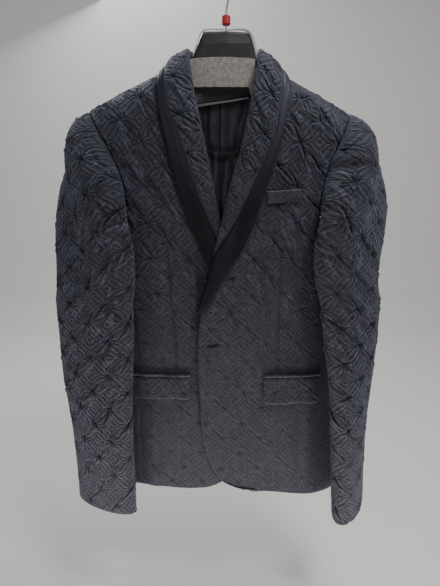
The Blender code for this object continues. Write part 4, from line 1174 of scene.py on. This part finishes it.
def front_cloth(side):
    """Front from the shoulder to the hem, with its dart, and the lapel's shadow painted on it."""
    sign = SIGN[side]
    lapel, edge = LAPEL[side], FRONT_EDGE[side]
    neck_x = sign * (neck_corner(side) + SEAM)
    inner = [(neck_x, seam_top(neck_x, side))]
    for x, z in zip(lapel["roll_x"], lapel["roll_z"]):
        inner.append((sign * (x + TUCK + NECK_TUCK * fade(z, -0.200, -0.170)), z))
    inner = path(inner + [(-sign * x, z) for x, z in zip(edge["over"][1:], edge["z"][1:])])
    outer = side_edge(side, "front_x", np.linspace(0, FRONT_SEAM_TURN, EDGE_POINTS))
    top = [(x, seam_top(x, side)) for x in np.linspace(inner[0][0], outer[0][0], SHORT_POINTS)]
    outer[0] = top[-1]
    bottom = [(x, hem_z(x)) for x in np.linspace(inner[-1][0], outer[-1][0], SHORT_POINTS)]
    bottom[0], bottom[-1] = inner[-1], outer[-1]
    x, z, level, grid = patch(side, -1, (top, bottom, inner, outer), FINE)
    dart_x, dart_low_x, dart_top, dart_low = DARTS[side]
    share = np.clip((dart_top - z) / (dart_top - dart_low), 0, 1)
    past_dart = sign * (x - dart_x - (dart_low_x - dart_x) * share)
    taken = DART_TAKE * fade(dart_top - z, 0.0, DART_OPENS) * fade(past_dart, -0.001, 0.001)
    p, q = front_repeats(side, x + sign * taken, level)
    past_lapel = sign * x - read(lapel, "edge_z", "edge_x", z)
    below = fade(lapel["edge_z"][-1] - z, 0.0, 0.010)
    free = np.maximum(fade(past_lapel, -0.002, 0.010), below)
    fullness = fuller_above(z) * free
    relief, shade = puckers(p, q, fullness)
    sewn = (1 - fade(abs(past_dart), *DART_SEAM)) * fade(dart_top - z, 0, 0.01)
    sewn = sewn * fade(z - dart_low, 0, 0.003)
    sink, seam = turned(grid)
    relief = relief + sink * (0.3 + 0.7 * free) - DART_DEEP * sewn
    # Shadow painted on the front close under the lapel's edge, fainter near the top.
    painted_shadow = (1 - fade(past_lapel, 0.0015, LAPEL_SHADE[side])) * (1 - below)
    painted_shadow = painted_shadow * (0.15 + 0.85 * fade(-z, 0.20, 0.27))
    # Less shade is painted along the front's edge below the lapel.
    shade = shade - 0.25 * below * (1 - fade(from_edges(grid, "l"), 0.001, 0.003))
    # On the right front, a shadow is painted where the left front's edge laps over it.
    if side == "right":
        lapped = -x - read(FRONT_EDGE["left"], "z", "over", z)
        painted_shadow = np.maximum(painted_shadow, (1 - fade(lapped, 0.0008, 0.0030)) * fade(-z, 0.44, 0.47))
    # Shade is painted at the seams and the dart's seam, and the shadows painted under the edges join it.
    shade = np.clip(0.5 * shade + seam + 0.75 * sewn + 0.9 * painted_shadow, 0, 1)
    # On the left front, a shadow is painted just above the breast welt.
    if side == "left":
        above = z - WELT["top"] - WELT["rise"] * (x - WELT["inner"])
        beside = fade(x - WELT["inner"], -0.001, 0.001) * fade(WELT["outer"] - x, -0.001, 0.001)
        shade = np.maximum(shade, 0.95 * np.exp(-((above - 0.0010) / 0.0016) ** 2) * beside)
    relief, shade = creased(relief, shade, x, z, FRONT_CREASES[side], 0.6)
    return jacquard_cloth(f"front_cloth_{side}", grid, (p, q), relief, np.clip(shade, 0, 1), fullness, sign)


def back_cloth(side):
    """Half of the back, under the collar at the top."""
    sign = SIGN[side]
    neck_x = neck_corner(side)
    rise = seam_top(sign * neck_x, side) - BACK_NECK_Z
    middle = sign * SEAM
    neckline = [(middle, BACK_NECK_Z)]
    for share in NECKLINE:
        neckline.append((sign * neck_x * share, BACK_NECK_Z + rise * share ** 3))
    outer = side_edge(side, "back_x", np.linspace(360, BACK_SEAM_TURN, EDGE_POINTS))
    top = neckline + [(x, seam_top(x, side)) for x in np.linspace(sign * neck_x, outer[0][0], SHORT_POINTS)]
    outer[0] = top[-1]
    inner = [(middle, z) for z in np.linspace(BACK_NECK_Z, hem_z(0), SHORT_POINTS)]
    bottom = [(x, hem_z(x)) for x in np.linspace(middle, outer[-1][0], SHORT_POINTS)]
    bottom[-1] = outer[-1]
    x, z, level, grid = patch(side, 1, (top, bottom, inner, outer), COARSE)
    p, q = -x / REPEAT_WIDE, repeats_down(level)
    fullness = fuller_above(z) * fade(-z, *BELOW_COLLAR)
    relief, shade = puckers(p, q, fullness)
    sink, seam = turned(grid)
    relief, shade = creased(relief + sink, shade, sign * x, z, BACK_CREASES, 0.5)
    return jacquard_cloth(f"back_cloth_{side}", grid, (p, q), relief, np.clip(0.5 * shade + seam, 0, 1),
                          fullness, -sign)


def side_cloth(side):
    """Side panel, from under the arm to the hem."""
    sign = SIGN[side]
    columns, rows = [round(long / COARSE) for long in SIDE_LONG]
    share = np.linspace(0, 1, columns)
    turns = FRONT_SEAM_TURN + (BACK_SEAM_TURN - FRONT_SEAM_TURN) * share
    top = read(ARMHOLE, "turn", "z", turns)
    front, back = hem_corner(side, "front_x"), hem_corner(side, "back_x")
    z = top + (front + (back - front) * share - top) * np.linspace(0, 1, rows)[:, None]
    width = read(TORSO, "z", "width", z)
    ends = []
    for which in ("front_x", "back_x"):
        seam = np.abs(side_seam(side, which, z)) + SEAM
        ends.append(np.arccos(np.clip(seam / width, 0, 1) ** (ROUND / 2)))
    start = armhole_swing(side, turns)
    start = (start[0] - start) / (start[0] - start[-1])
    part = start + (share - start) * fade(z[0] - z, 0.0, SEAM_BLEND)
    swing = ends[0] * (1 - part) - ends[1] * part
    grid = either_face(sign * width * np.cos(swing) ** (2 / ROUND), z, side, swing)
    p, q = spread(grid, 1) / REPEAT_WIDE * sign, repeats_down(z - RIDGE_ARC + RIDGE)
    fullness = fuller_above(z) * fade(z[0] - z, 0.0, 0.03)
    relief, shade = puckers(p, q, fullness)
    sink, seam = turned(grid)
    return jacquard_cloth(f"side_cloth_{side}", grid, (p, q), relief + sink,
                          np.clip(0.5 * shade + seam, 0, 1), fullness, sign)


# ---- Sleeves
def sleeve_grid(side, turns, rows_head, rows_tube):
    """Sleeve points: rows from the armhole to the cuff, columns round it."""
    sign = SIGN[side]
    turn = np.radians(turns)
    away = np.stack([sign + 0 * turn, -SLEEVE_PROUD * np.sin(turn), 0 * turn], -1)
    start = armhole(side, turns) + SLEEVE_GAP * unit(away)
    join = float(SLEEVE[side]["z"].max())
    end = sleeve_ring(side, turn, np.full(len(turns), join))
    leave = np.stack([
        sign * FULL[side] * read(HEAD, "turn", "out", turns),
        -read(HEAD, "turn", "forward", turns),
        -read(HEAD, "turn", "down", turns),
    ], -1)
    arrive = np.array([sign * HEAD_DRAW[side], 0, -HEAD_END])
    t = np.linspace(0, 1, rows_head)[:, None, None]
    rise = t * t * (3 - 2 * t)
    head = start * (1 - rise) + end * rise
    head = head + t * (1 - t) ** 2 * leave + t * t * (t - 1) * arrive
    low_inner, low_outer = CUFF[side]
    cuff = low_inner + (low_outer - low_inner) * (1 - np.sin(turn)) / 2
    z = join + (cuff - join) * np.linspace(0, 1, rows_tube)[1:, None]
    tube = sleeve_ring(side, np.broadcast_to(turn, z.shape), z)
    return np.concatenate([head, tube])


def sleeve_cloth(side, name):
    """The upper or the under sleeve."""
    sign, upper = SIGN[side], name == "upper"
    spacing = FINE if upper else COARSE
    if upper:
        span = np.linspace(BACK_FOLD + SEAM_TURN - 360, FRONT_FOLD - SEAM_TURN, RING_POINTS)
    else:
        span = np.linspace(FRONT_FOLD + SEAM_TURN, BACK_FOLD - SEAM_TURN, RING_POINTS)
    ring = sleeve_ring(side, np.radians(span), np.full(RING_POINTS, -0.60))
    round_it = way_along(ring)
    columns = round(round_it[-1] / spacing)
    turns = np.interp(np.linspace(0, round_it[-1], columns), round_it, span)
    rows = [round(long / spacing) for long in SLEEVE_LONG]
    before, grid, after = [sleeve_grid(side, np.mod(turns + nudge, 360), *rows)
                           for nudge in (-NUDGE, 0, NUDGE)]
    steps = np.linalg.norm(np.diff(grid, axis=0), axis=-1).mean(axis=1)
    down = np.concatenate([[0], np.cumsum(steps)])[:, None]
    star_turn, star_down = SLEEVE_STAR[side]
    start = np.interp(star_turn, span, round_it) if upper else 0.0
    round_from = np.interp(turns, span, round_it) - start
    fall, join = spread(grid, 0), rows[0] - 1
    local = down[join] - fall[join] + fall
    p, q = -sign * round_from / REPEAT_WIDE, (star_down - local) / SLEEVE_HIGH
    wavy = 1 + 0.15 * np.sin(9 * down + 14 * round_from)
    fullness = wavy * fade(down, 0.0, 0.015) * (0.75 + 0.25 * fade(down[-1] - down, 0.02, 0.20))
    finish, lean = "jacquard", CREASE_LEAN
    if side == "right":
        finish, lean = "jacquard_sleeve_right", -CREASE_LEAN
    relief, shade = puckers(p, q, fullness, lean)
    sink, seam = turned(grid)
    relief = relief + sink
    if upper:
        relief, shade = creased(relief, shade, -sign * round_from, -local, SLEEVE_CREASES[side], 0.6)
    return jacquard_cloth(f"sleeve_{name}_cloth_{side}", grid, (p, q), relief,
                          np.clip(0.5 * shade + seam, 0, 1), fullness, -sign, finish, across=after - before)


# ---- Collar
def collar_frame(side, rows):
    """Stations along the collar: fold, outer edge, foot of the inside, band width."""
    sign = SIGN[side]
    paths = []
    for rx, ry, rz, ex, drop, face, sx, sy, sz, band in zip(*NECK.values()):
        place = np.array(sign * ex + NECK_SHIFT)
        edge = body(place, ridge_z(place, side) - drop, side, int(face), NECK_LIFT)
        fold = (sign * rx + NECK_SHIFT, ry, rz)
        paths.append((*fold, *edge, sign * sx + NECK_SHIFT, sy, sz, band))
    for rx, rz, ex, ez, lift, band in zip(*LAPEL[side].values()):
        fold = body(np.array(sign * rx), np.array(rz), side, -1)
        edge = body(np.array(sign * ex), np.array(ez), side, -1, lift)
        foot = body(np.array(sign * (rx + LEG)), np.array(rz), side, -1)
        paths.append((*fold, *edge, *foot, band))
    paths = np.array(paths)
    place = way_along(paths[:, 3:6])
    columns = {str(k): paths[:, k] for k in range(10)}
    columns["place"] = place

    def at(places):
        path = np.stack([read(columns, "place", str(k), places) for k in range(10)], -1)
        return path[:, 0:3], path[:, 3:6], path[:, 6:9], path[:, 9]

    fine = np.linspace(0, place[-1], 400)
    fold, edge, _, band = at(fine)
    jacquard = np.linalg.norm(edge - fold, axis=1) - band > -SATIN_TURN
    end = fine[np.argmin(jacquard)] if not jacquard.all() else place[-1]
    facing, whole = np.linspace(0, end, rows), np.linspace(0, place[-1], rows)
    return (facing, *at(facing)), (whole, *at(whole))


def collar_section(side, fold, edge, foot, distance):
    """Collar points at distances from the fold: inside is negative, outside positive."""
    reach = edge - fold
    length = np.linalg.norm(reach, axis=-1, keepdims=True)
    out = reach / length
    along = unit(np.gradient(fold, axis=0, edge_order=2))
    up = SIGN[side] * unit(np.cross(along, out))
    inward = unit(foot - fold)
    run = np.abs(distance)
    nose = RISE * np.sqrt(1 - (1 - np.minimum(run / ROLL, 1)) ** 2)
    settle = np.clip((run - ROLL) / (length - ROLL), 0, 1)
    swell = SWELL * np.sin(math.pi * np.clip(run / length, 0, 1)) ** 2 * fade(length, 0.02, 0.05)
    outside = distance >= 0
    height = np.where(outside, nose * (1 - settle) + swell, -nose)
    way = np.where(outside[..., None], out[:, None], inward[:, None])
    return fold[:, None] + way * run[..., None] + up[:, None] * height[..., None]


def collar_strip(side, frame_rows, columns, is_facing):
    """Grid of the facing or of the satin band, the ways out from the fold, and where they meet."""
    _, fold, edge, foot, band = frame_rows
    leg = np.linalg.norm(foot - fold, axis=1)
    length = np.linalg.norm(edge - fold, axis=1)
    split = np.maximum(length - band, -SATIN_TURN)
    low, high = (-leg, split - SEAM) if is_facing else (split + SEAM, length)
    wide = low[:, None] + (high - low)[:, None] * np.linspace(0, 1, 240)
    way = spread(collar_section(side, fold, edge, foot, wide), 1)
    even_way = way[:, -1:] * np.linspace(0, 1, columns)
    distance = np.array([np.interp(e, w, d) for e, w, d in zip(even_way, way, wide)])
    grid = collar_section(side, fold, edge, foot, distance)
    grid[0, :, 0] = SIGN[side] * SEAM + NECK_SHIFT
    return grid, distance, split[:, None]


def facing_cloth(side, frame_rows):
    """The collar's jacquard facing, turned inside at its fold."""
    sign, places = SIGN[side], frame_rows[0][:, None]
    grid, distance, split = collar_strip(side, frame_rows, FACING_COLUMNS, True)
    star_out, star_down = COLLAR_STAR[side]
    p, q = sign * (distance - star_out) / REPEAT_WIDE, (star_down - places) / REPEAT_HIGH
    fullness = 1.05 * fade(distance, -0.002, 0.008) * fade(split - distance, 0.0, 0.008)
    fullness = fullness * (0.45 + 0.55 * (1 - fade(places, 0.26, 0.40)))
    relief, shade = puckers(p, q, fullness)
    sink, seam = turned(grid, "r")
    # Shade painted on the facing where it meets the satin band.
    seam = np.maximum(seam, TURNED_DARK * (1 - fade(split - distance, 0.0, 0.007)))
    relief, shade = creased(relief, shade, sign * distance, -places, COLLAR_CREASES[side], 0.6)
    return jacquard_cloth(f"collar_cloth_{side}", grid, (p, q), relief + sink,
                          np.clip(0.5 * shade + seam, 0, 1), fullness, sign, inside="satin")


def band_cloth(side, frame_rows):
    """The satin band along the collar's outer edge, with a highlight painted where it turns up to the light
    and shade painted where it meets the facing.
    """
    places = frame_rows[0][:, None]
    grid, distance, _ = collar_strip(side, frame_rows, BAND_COLUMNS, False)
    near = from_edges(grid, "lr")
    relief = -0.0009 * (1 - fade(near, 0, 0.0035))
    relief = relief + 0.0005 * np.sin(38 * places + 60 * distance) * fade(near, 0, 0.006)
    amount, start, end = SATIN_LIT[side]
    # Shade painted where the band meets the facing, and a highlight painted high up the collar.
    shade = 0.45 * (1 - fade(from_edges(grid, "l"), 0, 0.0015)) - amount * (1 - fade(places, start, end))
    return cloth(f"satin_band_{side}_cloth", grid, (distance, places), "satin", SATIN, relief, shade,
                 facing=SIGN[side])


# ---- Pockets
def laid(side, x_span, z_rows, out, columns, rows):
    """A fine grid on the front's surface, moved out; each row is a height across the piece."""
    share = np.linspace(0, 1, columns)
    x = np.broadcast_to(SIGN[side] * (x_span[0] + (x_span[1] - x_span[0]) * share), (rows, columns))
    z = z_rows(share, np.linspace(0, 1, rows)[:, None])
    return x, front_repeats(side, x, z - RIDGE_ARC + RIDGE), body(x, z, side, -1, out)


def jet_cloth(side):
    """Narrow rounded jet along the top of a flap pocket."""
    sign, size = SIGN[side], POCKETS[side]
    span, rows = (size["inner"], size["outer"]), 11

    def jet_rows(share, down):
        return size["top"] - JET_HIGH * down - size["fall"] * share

    x, repeats, grid = laid(side, span, jet_rows, JET_OUT, round((span[1] - span[0]) / 0.0018), rows)
    down = np.linspace(-1, 1, rows)[:, None]
    relief = 0.0018 * np.sqrt(np.clip(1 - down ** 2, 0, 1)) - 0.0012 + 0.0002 * np.sin(210 * x)
    # Shade painted along the jet's top and bottom edges.
    shade = 0.6 * fade(abs(down), 0.62, 1.0)
    return cloth(f"jet_cloth_{side}", grid, repeats, "jet", JACQUARD, relief, shade, JET_FULLNESS, sign)


def flap_cloth(side):
    """Flap that hangs from a jet, with rounded lower corners and soft edges."""
    sign, size = SIGN[side], POCKETS[side]
    span = (size["inner"], size["outer"])
    length = span[1] - span[0]

    def flap_rows(share, down):
        start = size["top"] - JET_HIGH - 2 * SEAM
        corner = 1 - np.minimum(np.minimum(share, 1 - share) * length / 0.007, 1)
        end = size["bottom"] + 0.006 * (1 - np.sqrt(1 - corner ** 2))
        end = end + 0.0007 * np.sin(3.6 * math.pi * share + sign)
        return start + (end - start) * down - size["fall"] * share

    x, (p, q), grid = laid(side, span, flap_rows, FLAP_OUT, round(length / 0.0016), round(0.050 / 0.0016))
    p = p + FLAP_OFF[side]
    relief, shade = puckers(p, q, np.full(x.shape, FLAP_FULLNESS))
    edge, top = from_edges(grid, "lrb"), from_edges(grid, "t")
    fall = np.linspace(0, 1, len(x))[:, None]
    relief = relief - 0.0014 * (1 - fade(edge, 0, 0.0035)) - 0.0014 * (1 - fade(top, 0, 0.006))
    lift = 0.0014 + 0.0010 * np.sin(2.3 * math.pi * np.abs(x) / length + sign)
    relief = relief + lift * fade(fall, 0.2, 1.0)
    # Shade painted along the flap's top, under the jet.
    shade = 0.5 * shade + 0.7 * (1 - fade(top, 0, 0.0022))
    return jacquard_cloth(f"flap_cloth_{side}", grid, (p, q), relief, shade, FLAP_FULLNESS, sign)


def welt_cloth():
    """Breast welt, with a highlight painted along its top edge and shade painted along its other edges."""
    rise, span = WELT["rise"], (WELT["inner"], WELT["outer"])
    length = span[1] - span[0]

    def rows(share, down):
        return WELT["top"] - WELT["height"] * down + rise * length * share

    x, repeats, grid = laid("left", span, rows, WELT_OUT, round(length / 0.0015),
                            round(WELT["height"] / 0.0015))
    relief = puckers(*repeats, np.full(x.shape, WELT_FULLNESS))[0]
    relief = relief - 0.0011 * (1 - fade(from_edges(grid), 0, 0.0030))
    top = from_edges(grid, "t")
    # Shade painted in a line 4 mm below the top, a highlight painted along the top edge, and shade painted
    # along the other edges.
    shade = 0.35 * np.exp(-((top - 0.0040) / 0.0010) ** 2) - 0.75 * (1 - fade(top, 0.0008, 0.0022))
    shade = shade + 0.7 * (1 - fade(from_edges(grid, "lrb"), 0.0, 0.0018))
    return cloth("breast_welt_cloth", grid, repeats, "jacquard", JACQUARD, relief, shade, WELT_FULLNESS)


# ---- Lining
def lining_cloth(side):
    """Half of the back lining, in loose upright folds, with a sag across below the neck; shade is painted
    beside the folds and under the sag.
    """
    sign = SIGN[side]
    columns, rows = 56, 240
    x = sign * np.linspace(0, LINING_HALF, columns)
    top = np.interp(np.abs(x), LINING_TOP["x"], LINING_TOP["z"])
    z = top + (hem_z(0) + LINING_HEM - top) * np.linspace(0, 1, rows)[:, None]
    x = np.broadcast_to(x, z.shape)
    grid = body(x, z, side, 1, -LINING_INSIDE) - np.array([0, LINING_SLACK, 0])
    depth = fade(top - z, 0.0, 0.05) * fade(z - z[-1:], 0.0, 0.06)
    over_sag = fade(z, SAG[1] - 0.02, SAG[1] + 0.005)
    relief, shade = 0 * x, 0 * x
    for place, lean, wide, height, above in LINING_FOLDS:
        ends = depth * (over_sag if above else 1 - over_sag)
        away = x - place - lean * (z - SAG[1]) - 0.0025 * np.sin(60 * z)
        relief = relief + height * np.exp(-(away / wide) ** 2) * ends
        # Shade painted beside each fold.
        shade = shade + 0.30 * np.exp(-((away - 1.3 * wide) / (0.7 * wide)) ** 2) * ends
    near = 1 - fade(abs(x - SAG[0]), 0.03, 0.07)
    low = z - SAG[1] - 9.0 * (x - SAG[0]) ** 2
    relief = relief + 0.0040 * np.exp(-(low / 0.007) ** 2) * near
    # Shade painted under the sag.
    shade = shade + 0.75 * np.exp(-((low + 0.010) / 0.0065) ** 2) * near
    return cloth(f"lining_cloth_{side}", grid, (x, z), "lining", LINING, relief, np.clip(shade, 0, 1),
                 facing=-sign)


# ---- Small sewn and moulded things
def swept(name, centres, ahead, radius, finish, sides=8, closed=False):
    """A round bar along a path that lies about upright, from a grid rolled round it."""
    rows = len(centres)
    up = np.array([0.0, -1.0, 0.0])
    outs = unit(np.cross(ahead, up))
    shape = bmesh.new()
    bmesh.ops.create_grid(shape, x_segments=sides, y_segments=rows - 1, size=0.5)
    for point in shape.verts:
        turn = 2 * math.pi * round((point.co.x + 0.5) * sides) / sides
        row = round((point.co.y + 0.5) * (rows - 1))
        point.co = centres[row] + radius[row] * (math.cos(turn) * outs[row] + math.sin(turn) * up)
    bmesh.ops.remove_doubles(shape, verts=shape.verts[:], dist=1e-6)
    if not closed:
        bmesh.ops.holes_fill(shape, edges=[e for e in shape.edges if e.is_boundary], sides=0)
    bmesh.ops.recalc_face_normals(shape, faces=shape.faces[:])
    mesh = smooth_mesh(name, shape)
    mesh.materials.append(finishes[finish])
    return placed(name, mesh)


def buttonhole():
    """Worked buttonhole near the left front's edge: a cord of close stitches round a slit."""
    count = 150
    turn = np.linspace(0, 2 * math.pi, count)
    x = HOLE["x"] + HOLE["half"] * np.sign(np.cos(turn)) * np.abs(np.cos(turn)) ** 0.75
    z = HOLE["z"] + HOLE["tilt"] * (x - HOLE["x"]) + 0.0011 * np.sin(turn)
    centres = body(x, z, "left", -1, 0.0007)
    centres[-1] = centres[0]
    ahead = unit(np.gradient(centres, axis=0))
    ahead[0] = ahead[-1] = unit(centres[1] - centres[-2])
    radius = 0.00075 + 0.00016 * np.cos(np.linspace(0, 2 * math.pi * STITCHES, count))
    radius[-1] = radius[0]
    return swept("buttonhole_stitches", centres, ahead, radius, "thread", closed=True)


def neck_rim_highlight():
    """Moulded rim round the front of the hanger's neck, up one side, over the top and down the other, as a
    pale bar: a painted highlight.
    """
    line = path(RIM, 90)
    centres = np.stack([line[:, 0], np.full(len(line), RIM_Y), line[:, 1]], -1)
    share = np.linspace(0, 1, len(line))
    radius = 0.0010 + 0.0018 * fade(share, 0.50, 0.80)
    radius = radius * (0.35 + 0.65 * fade(np.minimum(share, 1 - share), 0.0, 0.04))
    return swept("hanger_neck_rim", centres, unit(np.gradient(centres, axis=0)), radius, "rim", 10)


for side in ("right", "left"):
    end = f"_{side}"
    dressed(front_cloth(side), "front", end)
    dressed(back_cloth(side), "back", end)
    dressed(side_cloth(side), "side", end)
    for name in ("upper", "under"):
        dressed(sleeve_cloth(side, name), f"sleeve_{name}", end)
    facing_rows, band_rows = collar_frame(side, COLLAR_ROWS)
    dressed(facing_cloth(side, facing_rows), "collar", end)
    dressed(band_cloth(side, band_rows), "satin_band", end)
    dressed(jet_cloth(side), "jet", end)
    dressed(flap_cloth(side), "flap", end)
    dressed(lining_cloth(side), "lining_back", end)
dressed(welt_cloth(), "breast_welt")
for piece, slot in ((buttonhole(), "jacquard"), (neck_rim_highlight(), "plastic")):
    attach(piece, "root")
for node, finish in (("hanger_body", "plastic"), ("hook", "wire"), ("size_ring", "red_ring"),
                     ("hanger_lip", "lip"), ("felt_band", "felt")):
    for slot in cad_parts[node].material_slots:
        slot.material = finishes[finish]


# ---- Floor, light and camera
FLOOR_Z = -1.06
FLOOR_WIDE = 9.0
FLOOR_LONG = 8.5           # from front to back, if it were flat
FLOOR_FRONT = -3.2
BEND = 0.35                # radius of its bend up into the backdrop, and where along it that starts
BEND_FROM = 0.52
BACKDROP_HIGH = 8.0        # height of the backdrop, for each share of the grid


def cove():
    """Pale floor that curves up into a plain backdrop."""
    shape = bmesh.new()
    bmesh.ops.create_grid(shape, x_segments=8, y_segments=60, size=0.5)
    for point in shape.verts:
        share = point.co.y + 0.5
        angle = math.pi / 2 * float(fade(np.array(share), 0.42, 0.62))
        along = FLOOR_FRONT + FLOOR_LONG * min(share, BEND_FROM)
        rise = BEND * (1 - math.cos(angle)) + max(share - BEND_FROM, 0) * BACKDROP_HIGH
        point.co = (point.co.x * FLOOR_WIDE, along + BEND * math.sin(angle), FLOOR_Z + rise)
    bmesh.ops.recalc_face_normals(shape, faces=shape.faces[:])
    mesh = smooth_mesh("floor", shape)
    mesh.materials.append(new_finish("floor_paint", Base_Color=(0.74, 0.72, 0.70, 1), Roughness=0.75,
                                     Specular_IOR_Level=0.2)[0])
    placed("floor", mesh)


def area_light(name, place, target, size, power, colour):
    lamp = bpy.data.lights.new(name, "AREA")
    lamp.shape = "RECTANGLE"
    lamp.size, lamp.size_y = size
    lamp.energy = power
    lamp.color = colour
    light = placed(name, lamp)
    light.location = place
    away = np.array(place) - np.array(target)
    steep = math.acos(away[2] / np.linalg.norm(away))
    light.rotation_euler = (steep, 0, math.atan2(away[1], away[0]) + math.pi / 2)


cove()
area_light("key", (0.70, -0.95, 1.05), (0.0, 0.0, -0.35), (0.5, 0.4), 16.0, (0.96, 0.98, 1.0))
area_light("top", (0.45, 0.0, 0.85), (0.1, 0.0, -0.2), (0.5, 0.3), 9, (0.97, 0.99, 1.0))
area_light("front", (0.0, -1.40, -0.22), (0.0, 0.0, -0.35), (0.4, 0.3), 2.2, (1.0, 1.0, 1.0))
area_light("fill", (-1.5, -1.3, 0.1), (0.0, 0.0, -0.45), (1.2, 1.4), 2.5, (1.0, 0.985, 0.96))
area_light("low", (0.0, -0.25, -1.04), (0.0, -0.249, 0.0), (1.10, 0.10), 4.6, (1.0, 0.95, 0.88))
area_light("back", (-0.5, 1.3, 0.9), (0.0, 0.0, -0.4), (1.2, 0.8), 22, (1.0, 1.0, 1.0))
world = bpy.data.worlds.new("studio")
world.use_nodes = True
background = world.node_tree.nodes["Background"].inputs
background["Color"].default_value = (0.86, 0.88, 0.92, 1)
background["Strength"].default_value = 0.27
bpy.context.scene.world = world

lens = bpy.data.cameras.new("photo_camera")
lens.sensor_fit = "VERTICAL"
lens.sensor_height = 36
lens.lens = 36 * 440 / 586
camera = placed("photo_camera", lens)
camera.location = (0, -0.735, -0.356)
camera.rotation_euler = (math.radians(79), 0, 0)
bpy.context.scene.camera = camera
